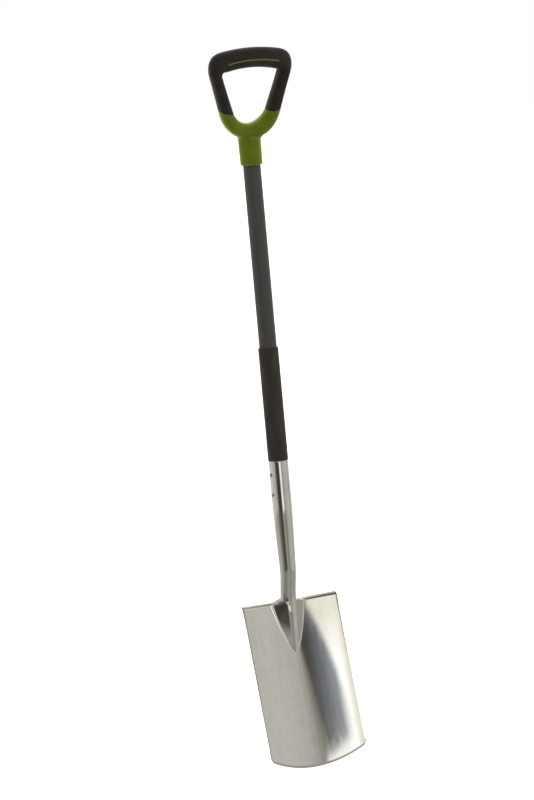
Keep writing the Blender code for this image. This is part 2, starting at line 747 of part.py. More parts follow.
def screw_seat():
    """Distance from the shaft's axis to the underside of the screw's head on the widening ferrule."""
    head_top = SCREW_HEIGHT + SCREW_HEAD_RADIUS
    return FERRULE_RADIUS + FERRULE_SHOULDER * head_top / FERRULE_LENGTH + TOUCH_GAP


def add_screw(material, parent):
    """Pan-head screw from behind through the ferrule and the shaft's wall, cross recess."""
    seat = screw_seat()
    top = seat + SCREW_HEAD_HEIGHT
    profile = [
        (SCREW_SHANK_RADIUS * 0.2, seat - SCREW_SHANK_DEPTH),
        (SCREW_SHANK_RADIUS, seat - SCREW_SHANK_DEPTH + SCREW_SHANK_RADIUS),
        (SCREW_SHANK_RADIUS, seat),
        (SCREW_HEAD_RADIUS, seat),
        (SCREW_HEAD_RADIUS, seat + 0.35 * SCREW_HEAD_HEIGHT),
        (SCREW_HEAD_RADIUS * 0.8, seat + 0.85 * SCREW_HEAD_HEIGHT),
        (SCREW_HEAD_RADIUS * 0.4, top),
    ]
    rings = [[behind(point) for point in circle(radius, along, SMALL_SIDES)] for radius, along in profile]
    screw = add_rings("handle_screw", rings, material, parent)
    half_long, half_wide = 0.5 * SCREW_RECESS_LENGTH, 0.5 * SCREW_RECESS_WIDTH
    for name, half_x, half_z in (("recess_a", half_long, half_wide), ("recess_b", half_wide, half_long)):
        floor, end = top - SCREW_RECESS_DEPTH, top + SCREW_HEAD_HEIGHT
        centre = (0.0, 0.5 * (floor + end), SCREW_HEIGHT)
        cut(screw, add_box(name, centre, (half_x, 0.5 * (end - floor), half_z), parent))
    return screw


def add_box(name, centre, half_size, parent):
    signs = [(-1, -1), (1, -1), (1, 1), (-1, 1)]
    rings = []
    for end in (-1, 1):
        rings.append([
            (centre[0] + sx * half_size[0], centre[1] + sy * half_size[1], centre[2] + end * half_size[2])
            for sx, sy in signs
        ])
    return add_rings(name, rings, None, parent)


def add_screw_hole(parent):
    rings = []
    for along in (SHAFT_RADIUS - SCREW_SHANK_DEPTH, 2.0 * FERRULE_RADIUS):
        rings.append([behind(point) for point in circle(SCREW_SHANK_RADIUS + FIT_GAP, along, SMALL_SIDES)])
    return add_rings("screw_hole", rings, None, parent)


def clear_scene():
    for old_object in list(bpy.data.objects):
        bpy.data.objects.remove(old_object)


def build():
    clear_scene()
    frame = bpy.data.objects.new("spade", None)
    frame.location = -HANG_POINT
    bpy.context.scene.collection.objects.link(frame)

    stainless = make_material("stainless_steel", (0.66, 0.65, 0.62), 0.25, 1.0)
    coated = make_material("powder_coated_steel", (0.085, 0.083, 0.080), 0.55, 0.0)
    foam = make_material("black_foam_rubber", (0.035, 0.032, 0.030), 0.85, 0.0)
    green = make_material("green_polypropylene", (0.16, 0.23, 0.01), 0.45, 0.0)
    soft_black = make_material("black_soft_overmould", (0.032, 0.030, 0.029), 0.7, 0.0)
    rivet_steel = make_material("rivet_steel", (0.30, 0.30, 0.30), 0.45, 1.0)
    screw_steel = make_material("zinc_plated_steel", (0.55, 0.55, 0.54), 0.35, 1.0)

    add_blade(stainless, frame)
    socket = add_socket(stainless, frame)
    shaft = add_shaft(coated, frame)
    add_sleeve(foam, frame)
    core = add_core(green, frame)
    overmould = add_overmould(soft_black, frame)
    cut(overmould, add_rib("rib_slot", FIT_GAP, GRIP_HALF_DEPTH + 0.01, frame))

    for name, height in zip(("rivet_upper", "rivet_lower"), rivet_heights()):
        add_rivet(name, height, rivet_steel, frame)
        hole = add_rivet_hole(name + "_hole", height, frame)
        cut(socket, hole)
        cut(shaft, hole)

    add_screw(screw_steel, frame)
    screw_hole = add_screw_hole(frame)
    cut(core, screw_hole)
    cut(shaft, screw_hole)


build()
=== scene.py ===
# Looks of the digging spade: fine surfaces, materials, floor, light and camera.
# Metres, in the part's own frame: +Z up along the shaft, -Y out of the blade's dished front.
import math

import bmesh
import bpy
import numpy as np
from mathutils import Matrix, Vector


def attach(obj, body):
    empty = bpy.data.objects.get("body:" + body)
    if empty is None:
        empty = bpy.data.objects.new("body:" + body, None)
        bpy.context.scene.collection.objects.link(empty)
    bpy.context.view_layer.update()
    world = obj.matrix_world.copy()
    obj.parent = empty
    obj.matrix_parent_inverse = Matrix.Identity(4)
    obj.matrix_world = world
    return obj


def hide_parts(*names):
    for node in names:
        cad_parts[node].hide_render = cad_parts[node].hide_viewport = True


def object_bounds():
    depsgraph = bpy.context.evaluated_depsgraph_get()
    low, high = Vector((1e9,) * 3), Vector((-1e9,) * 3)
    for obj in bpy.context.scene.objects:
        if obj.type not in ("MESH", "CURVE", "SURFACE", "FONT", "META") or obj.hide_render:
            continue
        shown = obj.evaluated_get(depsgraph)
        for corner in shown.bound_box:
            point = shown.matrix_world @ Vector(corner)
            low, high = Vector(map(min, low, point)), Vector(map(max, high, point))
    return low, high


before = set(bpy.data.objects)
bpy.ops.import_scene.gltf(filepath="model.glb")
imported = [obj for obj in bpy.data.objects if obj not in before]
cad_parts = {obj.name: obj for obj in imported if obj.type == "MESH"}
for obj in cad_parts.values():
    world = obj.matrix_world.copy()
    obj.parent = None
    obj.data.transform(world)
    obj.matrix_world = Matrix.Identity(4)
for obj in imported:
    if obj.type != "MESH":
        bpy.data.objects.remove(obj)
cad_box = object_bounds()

# The part's own sizes, in metres
SHAFT_RADIUS = 0.0144
SHAFT_WALL = 0.0015
SHAFT_IN_SOCKET = 0.085
SHAFT_IN_FERRULE = 0.036
SHAFT_VISIBLE_LENGTH = 0.2978
SHAFT_END_ROUNDING = 0.0004
SLEEVE_LENGTH = 0.1852
SLEEVE_WALL = 0.0018
SLEEVE_END_ROUNDING = 0.0012
SOCKET_WALL = 0.0014
SOCKET_RIM_ROUNDING = 0.0004
SOCKET_STRAIGHT = 0.066
SOCKET_TAPER_LENGTH = 0.155
SOCKET_LENGTH = 0.2337
NECK_RADIUS = 0.0130
NECK_SET_BACK = 0.0078
NECK_BEND_LENGTH = 0.058
FLARE_HEIGHT = 0.0095
FLARE_REACH = 0.0150
FLARE_ANGLE = math.radians(122)
FLARE_SPREAD = math.radians(38)
RIVET_SHANK_RADIUS = 0.0021
RIVET_HEAD_RADIUS = 0.0030
RIVET_HEAD_HEIGHT = 0.0010
RIVET_UPPER_DROP = 0.0227
RIVET_SPACING = 0.033
SHEET_THICKNESS = 0.0018
EDGE_THICKNESS = 0.0007
EDGE_GRIND_LENGTH = 0.006
BLADE_LENGTH = 0.2758
BLADE_WIDTH_TOP = 0.180
BLADE_WIDTH_BOTTOM = 0.1825
BLADE_TILT = math.radians(12)
BLADE_DISH = 0.0125
EDGE_RADIUS = 0.205
CORNER_RADIUS = 0.004
SHEET_EDGE_ROUNDING = 0.0020
TREAD_DEPTH = 0.0095
TREAD_BEND_RADIUS = 0.0055
TREAD_INNER_BEND_RADIUS = 0.0030
TREAD_INNER_END = 0.028
TREAD_RUN_OUT = 0.008
TREAD_FULL_BEND = 0.038
TREAD_RISE_START = 0.0283
TREAD_RISE_SLOPE = 0.0500
RIDGE_HALF_WIDTH = 0.035
RIDGE_LENGTH = 0.086
RIDGE_WIDTH_POWER = 0.62
RIDGE_HEIGHT_POWER = 1.25
RIDGE_CREST_SHARE = 0.31
RIDGE_FILLET_SHARE = 0.18
FERRULE_RADIUS = 0.0182
FERRULE_LENGTH = 0.041
FERRULE_LIP_ROUNDING = 0.0024
FERRULE_SHOULDER = 0.0006
HANDLE_LEAN = math.radians(11.2)
YOKE_RADIUS = 0.0454
YOKE_BOTTOM = 0.0142
LEG_ANGLE = math.radians(17.9)
GRIP_CENTRE = 0.1345
GRIP_ARCH_RADIUS = 0.235
CORNER_BEND_RADIUS = 0.0197
CORNER_BULGE = 0.0046
CORNER_FILL = 0.0017
CORNER_PEAK = 0.62
CORNER_RUN_OUT = 0.21
CORNER_LANDING = 0.8
CORNER_POWER = 1.5
GROWTH_POWER = 1.3
LEG_HALF_WIDTH = 0.0094
LEG_HALF_DEPTH = 0.0122
LEG_BACK_EXTRA = 0.0027
LEG_SHEAR = 0.09
LEG_FOOT_EXTRA = 0.0017
YOKE_HALF_WIDTH = 0.0123
YOKE_BACK_EXTRA = 0.0068
YOKE_SHEAR = 0.195
GRIP_HALF_HEIGHT = 0.0162
GRIP_HALF_DEPTH = 0.0130
SECTION_POWER = 2.25
SKIRT_ALONG_YOKE = math.radians(27)
SKIRT_ROUND_YOKE = math.radians(66)
OVERMOULD_START_SLANT = 0.62
OVERMOULD_BACK_RISE = 0.22
OVERMOULD_START = 0.0026
RIB_HALF_LENGTH = 0.048
RIB_BELOW_CENTRE = 0.0025
RIB_THICKNESS = 0.0024
RIB_RECESS = 0.0004
SCREW_HEIGHT = 0.020
SCREW_HEAD_RADIUS = 0.0042
SCREW_HEAD_HEIGHT = 0.0022
SCREW_SHANK_RADIUS = 0.0020
SCREW_SHANK_DEPTH = 0.0095
SCREW_RECESS_WIDTH = 0.0010
SCREW_RECESS_LENGTH = 0.0048
SCREW_RECESS_DEPTH = 0.0013
TOUCH_GAP = 0.0003
FIT_GAP = 0.0003

# How the columns of the blade's grid that follow the V spread out again below its tip
COLUMNS_AT_TIP = 0.010
COLUMNS_SHARE = 0.35
COLUMNS_RUN_OUT = 0.09

# Rings that round the ends of the yoke and of the cover over: how far each lies in, and how far back
YOKE_END_RINGS = (0.00008, 0.0002), (0.0002, 0.0001), (0.0004, 0.0), (0.003, 0.0), (0.007, 0.0)
COVER_END_RINGS = (0.007, 0.0004), (0.003, 0.0004), (0.0006, 0.0004), (0.0003, 0.00025), (0.0001, 0.0001)

# Rings that carry the ferrule's skirt on under the yoke's skin: spread round the yoke, and inset
SKIRT_SUNK_RINGS = (1.03, 0.0002), (1.06, 0.0012), (0.8, 0.003)

# Columns round the cover: down its front to the slot, the slot's upper wall, floor and lower wall,
# and on round the back
COVER_COLUMNS = 26, 2, 4, 2, 70
COVER_CUT_RUN_OUT = 0.030
SLOT_WALL = 0.0002
SLOT_DEPTH = 0.0011

# Derived places along the shaft; the ferrule's lower rim is at height zero in the formulas
SLEEVE_TOP = -SHAFT_VISIBLE_LENGTH
SOCKET_TOP = SLEEVE_TOP - SLEEVE_LENGTH - TOUCH_GAP
BLADE_TOP = SOCKET_TOP - SOCKET_LENGTH - TOUCH_GAP
SOCKET_RADIUS = SHAFT_RADIUS + FIT_GAP + SOCKET_WALL
RIDGE_HEIGHT = NECK_RADIUS + 0.0072
BLADE_SET_BACK = NECK_SET_BACK - NECK_RADIUS + RIDGE_HEIGHT
TILT_SINE, TILT_COSINE = math.sin(BLADE_TILT), math.cos(BLADE_TILT)
HANDLE_BASE = np.array([0.0, 0.0, FERRULE_LENGTH])
HANDLE_UP = np.array([0.0, -math.sin(HANDLE_LEAN), math.cos(HANDLE_LEAN)])
HANDLE_FRONT = np.array([0.0, -math.cos(HANDLE_LEAN), -math.sin(HANDLE_LEAN)])
HANG_POINT = HANDLE_BASE + HANDLE_UP * (GRIP_CENTRE - GRIP_HALF_HEIGHT)


def add_object(name, data):
    """A new object of some data, linked into the scene."""
    added = bpy.data.objects.new(name, data)
    bpy.context.scene.collection.objects.link(added)
    return added


# Camera
def add_camera():
    """The camera at the photograph's angle: its place, and the directions of its right and its top."""
    camera_data = bpy.data.cameras.new("photo_camera")
    camera_data.sensor_width = 36.0
    camera_data.lens = 150.53
    camera_data.clip_end = 200.0
    camera = add_object("photo_camera", camera_data)
    right = Vector((0.862831, -0.497559, -0.089246))
    up = Vector((0.124090, 0.037330, 0.991575))
    back = right.cross(up)
    turn = Matrix((right, up, back)).transposed().to_4x4()
    camera.matrix_world = Matrix.Translation((-2.6819, -4.7008, -0.0277)) @ turn
    bpy.context.scene.camera = camera


add_camera()


# Meshes
def grid_faces(rows, columns, wrap_rows, wrap_columns, start=0):
    """Quads between the neighbouring points of a grid; a wrapped side joins its first line again."""
    row, column = np.meshgrid(
        np.arange(rows if wrap_rows else rows - 1),
        np.arange(columns if wrap_columns else columns - 1),
        indexing="ij",
    )
    after, beside = (row + 1) % rows, (column + 1) % columns
    corners = [(row, column), (row, beside), (after, beside), (after, column)]
    return start + np.stack([line * columns + place for line, place in corners], axis=-1).reshape(-1, 4)


def ring_skin(grid, wrap_rows=False):
    """Closed skin over rings of points; unless the rows wrap, a fan closes each end at its middle."""
    rows, columns = grid.shape[:2]
    points = grid.reshape(-1, 3)
    faces = grid_faces(rows, columns, wrap_rows, True).tolist()
    if wrap_rows:
        return points, faces
    around = np.arange(columns)
    beside = (around + 1) % columns
    for ring, first in ((grid[0], 0), (grid[-1], (rows - 1) * columns)):
        middle = np.full(columns, len(points))
        points = np.concatenate([points, ring.mean(axis=0, keepdims=True)])
        faces += np.stack([first + around, first + beside, middle], axis=-1).tolist()
    return points, faces


def sheet_skin(front, back, reach, steps=8):
    """Closed skin of a sheet: a front grid, a back grid, and a border that joins them in a half ellipse.

    Round the border each point goes from front to back by a cosine and stands out by a sine.
    """
    rows, columns = front.shape[:2]
    size = rows * columns
    outward = np.zeros_like(front)
    outward[0] += unit(front[0] - front[1])
    outward[-1] += unit(front[-1] - front[-2])
    outward[:, 0] += unit(front[:, 0] - front[:, 1])
    outward[:, -1] += unit(front[:, -1] - front[:, -2])
    border = np.concatenate([
        np.arange(columns),
        np.arange(1, rows) * columns + columns - 1,
        (rows - 1) * columns + np.arange(columns - 2, -1, -1),
        np.arange(rows - 2, 0, -1) * columns,
    ])
    front, back = front.reshape(-1, 3), back.reshape(-1, 3)
    middle, half = 0.5 * (front[border] + back[border]), 0.5 * (front[border] - back[border])
    turn = np.linspace(0.0, math.pi, steps + 2)[1:-1, None, None]
    rim = middle + half * np.cos(turn) + reach * unit(outward.reshape(-1, 3)[border]) * np.sin(turn)
    rings = [border]
    rings += [2 * size + step * len(border) + np.arange(len(border)) for step in range(steps)]
    rings.append(size + border)
    faces = [grid_faces(rows, columns, False, False), grid_faces(rows, columns, False, False, size)[:, ::-1]]
    for near, far in zip(rings, rings[1:]):
        faces.append(np.stack([near, np.roll(near, -1), np.roll(far, -1), far], axis=-1))
    return np.concatenate([front, back, rim.reshape(-1, 3)]), np.concatenate(faces).tolist()


def unit(vectors):
    """Each vector over its own length."""
    return vectors / np.linalg.norm(vectors, axis=-1, keepdims=True)


def add_piece(name, skins, material, nodes, sharp_angle=35.0):
    """One object of closed skins, moved into the part's frame, that stands for the named CAD nodes."""
    points, faces, count = [], [], 0
    for skin_points, skin_faces in skins:
        points.append(skin_points - HANG_POINT)
        faces += [tuple(index + count for index in face) for face in skin_faces]
        count += len(skin_points)
    mesh = bpy.data.meshes.new(name)
    mesh.from_pydata(np.concatenate(points).tolist(), [], faces)
    shape = bmesh.new()
    shape.from_mesh(mesh)
    bmesh.ops.recalc_face_normals(shape, faces=shape.faces)
    shape.to_mesh(mesh)
    shape.free()
    mesh.shade_smooth()
    mesh.set_sharp_from_angle(angle=math.radians(sharp_angle))
    mesh.materials.append(material)
    piece = add_object(name, mesh)
    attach(piece, "root")
    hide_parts(*nodes)
    return piece


def smooth_step(value):
    """Zero below 0, one above 1, and a smooth rise between."""
    share = np.clip(value, 0.0, 1.0)
    return share * share * (3.0 - 2.0 * share)


def whole_turn(sides=96):
    """Evenly spaced angles round a full circle."""
    return np.linspace(0.0, 2.0 * math.pi, sides, endpoint=False)


def turned(profile, sides=96):
    """Rings about the shaft's axis: each (radius, height) pair carried round a full circle."""
    profile = np.asarray(profile, dtype=float)
    angle = whole_turn(sides)
    radius, height = profile[:, :1], profile[:, 1:]
    x, y = radius * np.sin(angle), -radius * np.cos(angle)
    return np.stack([x, y, np.broadcast_to(height, x.shape)], axis=-1)


def rounded_rim(radius, height, rounding, outwards, steps=7):
    """A quarter circle from the flat end to the side; outwards is +1 at an upper end, -1 at a lower."""
    angle = np.linspace(0.0, 0.5 * math.pi, steps)
    across = radius - rounding * (1.0 - np.sin(angle))
    along = height - outwards * rounding * (1.0 - np.cos(angle))
    return np.stack([across, along], axis=-1)


def tube_skin(outer, inner, low, high, rounding):
    """A tube's wall turned about the axis, with rounded outer rims and a broken inner edge."""
    chamfer = 0.0002
    lower = rounded_rim(outer, low, rounding, -1.0)
    upper = rounded_rim(outer, high, rounding, 1.0)[::-1]
    bore = [(inner + chamfer, high), (inner, high - chamfer), (inner, low + chamfer), (inner + chamfer, low)]
    return ring_skin(turned(np.concatenate([lower, upper, bore])), wrap_rows=True)


# Blade
def ridge_profile(share):
    """Height of the raised V across its half width: round crest, straight flank, round foot."""
    crest, fillet = RIDGE_CREST_SHARE, RIDGE_FILLET_SHARE
    slope = 1.0 / (1.0 - 0.5 * crest - 0.5 * fillet)
    share = np.clip(share, 0.0, 1.0)
    top = 1.0 - slope * share**2 / (2.0 * crest)
    flank = 1.0 - slope * crest / 2.0 - slope * (share - crest)
    foot = slope * (1.0 - share) ** 2 / (2.0 * fillet)
    return np.where(share < crest, top, np.where(share > 1.0 - fillet, foot, flank))


def ridge_half_width(down):
    """Half width of the V: a power of what is left of its length."""
    return RIDGE_HALF_WIDTH * np.clip(1.0 - down / RIDGE_LENGTH, 0.0, None) ** RIDGE_WIDTH_POWER


def ridge_height(down):
    """Height of the V's crest: falls slowly at first, then evenly to its tip."""
    share = np.clip(down / RIDGE_LENGTH, 0.0, 1.0)
    return RIDGE_HEIGHT * (1.0 - share**RIDGE_HEIGHT_POWER)


def blade_half_width(down):
    """Half width of the front face, without the rounding of its edge."""
    width = BLADE_WIDTH_TOP + (BLADE_WIDTH_BOTTOM - BLADE_WIDTH_TOP) * down / BLADE_LENGTH
    return 0.5 * width - SHEET_EDGE_ROUNDING


def dish(x):
    """How far the sheet comes forward towards its sides: the square of the place across it."""
    return BLADE_DISH * (2.0 * x / BLADE_WIDTH_TOP) ** 2


def blade_front(x, down):
    """Front face: a tilted sheet, brought forward by its dish and by the raised V."""
    raised = ridge_height(down) * ridge_profile(np.abs(x) / np.maximum(ridge_half_width(down), 1e-6))
    forward = dish(x) + raised
    y = BLADE_SET_BACK - down * TILT_SINE - forward * TILT_COSINE
    z = BLADE_TOP - down * TILT_COSINE + forward * TILT_SINE
    return np.stack([x, y, z], axis=-1)


def lower_end(x, half_width):
    """Length of the blade at a place across it: an arc with eased corners."""
    arc = BLADE_LENGTH - EDGE_RADIUS + np.sqrt(EDGE_RADIUS**2 - x**2)
    inset = np.clip(np.abs(x) - (half_width - CORNER_RADIUS), 0.0, CORNER_RADIUS)
    return arc - (CORNER_RADIUS - np.sqrt(CORNER_RADIUS**2 - inset**2)) - SHEET_EDGE_ROUNDING


def blade_columns():
    """Shares across the blade: 0 to 1 over the raised V, 1 to 2 from its rim to the blade's side."""
    ridge = np.linspace(0.0, 1.0, 41)
    plain = 1.0 + np.sin(np.linspace(0.0, 0.5 * math.pi, 41)[1:]) ** 0.9
    half = np.concatenate([ridge, plain])
    return np.concatenate([-half[:0:-1], half])


def across_blade(columns, down):
    """X of every column at a distance down the blade, keeping columns on the rim of the V."""
    half_width = blade_half_width(down)
    rim = np.sqrt(ridge_half_width(np.minimum(down, RIDGE_LENGTH)) ** 2 + COLUMNS_AT_TIP**2)
    widened = COLUMNS_SHARE * half_width - COLUMNS_AT_TIP
    spread = rim + widened * smooth_step((down - RIDGE_LENGTH) / COLUMNS_RUN_OUT)
    size = np.abs(columns)
    outer = spread + (size - 1.0) * (half_width - spread)
    return np.sign(columns) * np.where(size <= 1.0, size * spread, outer)


def top_height(x):
    """Height of the blade's top edge: level behind the V, then a straight rise to each side."""
    return BLADE_TOP + TREAD_RISE_SLOPE * np.maximum(0.0, np.abs(x) - TREAD_RISE_START)


def bend_radius(x):
    """Outer radius of the tread's fold: tight beside the V, rising smoothly to its full size."""
    share = smooth_step((np.abs(x) - TREAD_INNER_END) / (TREAD_FULL_BEND - TREAD_INNER_END))
    return TREAD_INNER_BEND_RADIUS + (TREAD_BEND_RADIUS - TREAD_INNER_BEND_RADIUS) * share


def tread_back(x):
    """Place of the tread's rear edge, one tread depth behind the dished sheet."""
    return BLADE_SET_BACK - dish(x) * TILT_COSINE + TREAD_DEPTH - SHEET_EDGE_ROUNDING


def first_row(columns):
    """Distance down the blade at which each column's front face reaches the top edge."""
    down = np.zeros_like(columns)
    for _ in range(40):
        x = across_blade(columns, down)
        down = down + (blade_front(x, down)[:, 2] - top_height(x)) / TILT_COSINE
    return down


def mix_rows(plain, bent, share):
    """Row of points between a plain and a bent one, by each column's share."""
    return plain + (bent - plain) * share[:, None]


def blade_rows():
    """Front-face points of the whole sheet, row by row from the tread's rear edge down.

    The fold is a quarter turn about a line behind the top edge, the tread's plate follows it
    to the rear, and beside the V the fold runs out into the plain sheet.
    """
    columns = blade_columns()
    start = first_row(columns)
    x_top = across_blade(columns, start)
    radius = bend_radius(x_top)
    bend_start = start + radius * (1.0 - TILT_SINE) / TILT_COSINE
    folded = smooth_step((np.abs(x_top) - (TREAD_INNER_END - TREAD_RUN_OUT)) / TREAD_RUN_OUT)
    foot = blade_front(across_blade(columns, bend_start), bend_start)
    head = blade_front(x_top, start)
    centre_y = foot[:, 1] + radius * TILT_COSINE
    centre_z = top_height(x_top) - radius
    rows = []
    plain = [foot + (head - foot) * share for share in np.linspace(1.0, 0.0, 16)]
    for turn in np.linspace(1.0, 0.0, 13):
        angle = BLADE_TILT + (0.5 * math.pi - BLADE_TILT) * turn
        bent = foot.copy()
        bent[:, 1] = centre_y - radius * math.cos(angle)
        bent[:, 2] = centre_z + radius * math.sin(angle)
        if turn == 1.0:
            plate = bent.copy()
            plate[:, 1] = tread_back(x_top)
            for share in (0.0, 0.35, 0.7):
                rows.append(mix_rows(plain[len(rows)], plate + (bent - plate) * share, folded))
        rows.append(mix_rows(plain[len(rows)], bent, folded))
    over_ridge, plain_sheet = np.linspace(0.0, 0.34, 75)[1:], np.linspace(0.34, 0.97, 60)[1:]
    ground_edge = [0.978, 0.986, 0.993, 1.0]
    for share in np.concatenate([over_ridge, plain_sheet, ground_edge]):
        down = bend_start
        for _ in range(8):
            x = across_blade(columns, down)
            down = bend_start + (lower_end(x, blade_half_width(down)) - bend_start) * share
        rows.append(blade_front(across_blade(columns, down), down))
    return np.array(rows)


def blade_skin():
    """The sheet, its back face one thickness behind its front, and each point's distance from the rim.

    The thickness falls off evenly over the ground edge, and the rounded border is at distance zero.
    """
    front = blade_rows()
    normal = unit(np.cross(np.gradient(front, axis=0), np.gradient(front, axis=1)))
    above, left, right = (
        np.linalg.norm(front - side, axis=2) for side in (front[-1:], front[:, :1], front[:, -1:])
    )
    ground = np.clip(above / EDGE_GRIND_LENGTH, 0.0, 1.0)
    thickness = EDGE_THICKNESS + (SHEET_THICKNESS - EDGE_THICKNESS) * ground
    back = front - normal * thickness[:, :, None]
    back[0, :, 2] = np.minimum(back[0, :, 2], front[0, :, 2])
    from_rim = np.minimum(above, np.minimum(left, right)).ravel()
    points, faces = sheet_skin(front, back, SHEET_EDGE_ROUNDING)
    distance = np.zeros(len(points))
    distance[:2 * len(from_rim)] = np.tile(from_rim, 2)
    return points, faces, distance


# Neck and socket
def neck_offset(height):
    """How far the socket's centre line stands behind the shaft's axis."""
    return NECK_SET_BACK * smooth_step((BLADE_TOP + NECK_BEND_LENGTH - height) / NECK_BEND_LENGTH)


def neck_radius(height):
    """Outer radius: straight over the shaft, then a smooth taper, then the slim neck."""
    share = smooth_step((SOCKET_TOP - SOCKET_STRAIGHT - height) / SOCKET_TAPER_LENGTH)
    return SOCKET_RADIUS + (NECK_RADIUS - SOCKET_RADIUS) * share


def flare_reach(angle, height):
    """Extra radius of the weld flare beside and behind the neck, angle measured from the front."""
    rise = np.clip(1.0 - (height - BLADE_TOP) / FLARE_HEIGHT, 0.0, 1.0)
    turn = np.abs(np.abs((angle + math.pi) % (2.0 * math.pi) - math.pi) - FLARE_ANGLE)
    beside = 0.5 + 0.5 * np.cos(math.pi * np.minimum(1.0, turn / FLARE_SPREAD))
    return FLARE_REACH * rise * rise * beside


def neck_rings(heights, inset, sides=112):
    """Rings of the socket's wall: radius and centre line follow the height, the flare the angle."""
    heights = np.asarray(heights)[:, None]
    inset = np.asarray(inset).reshape(-1, 1)
    angle = whole_turn(sides)[None, :]
    radius = neck_radius(heights) - inset + flare_reach(angle, heights)
    x, y = radius * np.sin(angle), neck_offset(heights) - radius * np.cos(angle)
    return np.stack([x, y, np.broadcast_to(heights, x.shape)], axis=-1)


def socket_skin():
    """The socket's outer rings, then its inner rings back up, closed into a tube with a wall."""
    rim = rounded_rim(SOCKET_RADIUS, SOCKET_TOP, SOCKET_RIM_ROUNDING, 1.0, 5)
    foot = BLADE_TOP - 0.0002
    flare_top = BLADE_TOP + FLARE_HEIGHT
    body = np.linspace(SOCKET_TOP - 0.002, flare_top + 0.002, 120)
    flare = flare_top + (foot - flare_top) * np.linspace(0.0, 1.0, 24)
    heights = np.concatenate([rim[:, 1], body, flare])
    insets = np.concatenate([SOCKET_RADIUS - rim[:, 0], np.zeros(len(body) + len(flare))])
    outside = neck_rings(heights, insets)
    inner_heights = np.concatenate([flare[::-2], body[::-6], [SOCKET_TOP]])
    inside = neck_rings(inner_heights, np.full(len(inner_heights), SOCKET_WALL))
    return ring_skin(np.concatenate([outside, inside]), wrap_rows=True)


# Rivets
def rivet_skin(height):
    """A profile turned about the X axis: shank, underside, domed edge and dished middle of each head."""
    seat = SOCKET_RADIUS + TOUCH_GAP
    rim, top = seat + 0.0002, seat + RIVET_HEAD_HEIGHT
    turn = np.linspace(0.0, 0.5 * math.pi, 7)
    edge_radius = RIVET_HEAD_RADIUS * (0.70 + 0.30 * np.cos(turn))
    edge_along = rim + (top - rim) * np.sin(turn)
    inwards = np.linspace(0.0, 1.0, 7)[1:]
    dish_radius = RIVET_HEAD_RADIUS * (0.52 - 0.50 * inwards)
    dish_along = top - 0.5 * RIVET_HEAD_HEIGHT * smooth_step(inwards)
    radius = np.concatenate([[RIVET_SHANK_RADIUS, RIVET_HEAD_RADIUS - 0.0001], edge_radius, dish_radius])
    along = np.concatenate([[seat, seat], edge_along, dish_along])
    head = np.stack([radius, along], axis=-1)
    other = head[::-1] * np.array([1.0, -1.0])
    x, y, z = np.moveaxis(turned(np.concatenate([other, head]), 48), -1, 0)
    return ring_skin(np.stack([z, y, height - x], axis=-1))


# Handle
YOKE_TURN = 0.5 * math.pi - LEG_ANGLE
YOKE_RUN = YOKE_RADIUS * YOKE_TURN


def loop_line():
    """Start, direction and length of the half loop's leg, its bend's centre and end, its arch's centre.

    The leg leaves the yoke's arc straight on and is as long as the bend needs to touch the arch.
    """
    leg = np.array([math.sin(LEG_ANGLE), math.cos(LEG_ANGLE)])
    inward = np.array([-math.cos(LEG_ANGLE), math.sin(LEG_ANGLE)])
    rise = YOKE_RADIUS * (1.0 - math.cos(YOKE_TURN))
    leg_start = np.array([YOKE_RADIUS * math.sin(YOKE_TURN), YOKE_BOTTOM + rise])
    arch_centre = np.array([0.0, GRIP_CENTRE - GRIP_ARCH_RADIUS])
    origin = leg_start + inward * CORNER_BEND_RADIUS - arch_centre
    reach = GRIP_ARCH_RADIUS - CORNER_BEND_RADIUS
    middle = float(origin @ leg)
    leg_length = -middle + math.sqrt(middle**2 - float(origin @ origin) + reach**2)
    bend_centre = leg_start + leg * leg_length + inward * CORNER_BEND_RADIUS
    bend_line = bend_centre - arch_centre
    bend_end = math.atan2(bend_line[1], bend_line[0])
    return leg_start, leg, leg_length, bend_centre, bend_end, arch_centre


LEG_START, LEG_LINE, LEG_LENGTH, BEND_CENTRE, BEND_END, ARCH_CENTRE = loop_line()
BEND_RUN = CORNER_BEND_RADIUS * (BEND_END + LEG_ANGLE)
ARCH_RUN = GRIP_ARCH_RADIUS * (0.5 * math.pi - BEND_END)
LEG_END = YOKE_RUN + LEG_LENGTH
BEND_STOP = LEG_END + BEND_RUN
HALF_LOOP = BEND_STOP + ARCH_RUN


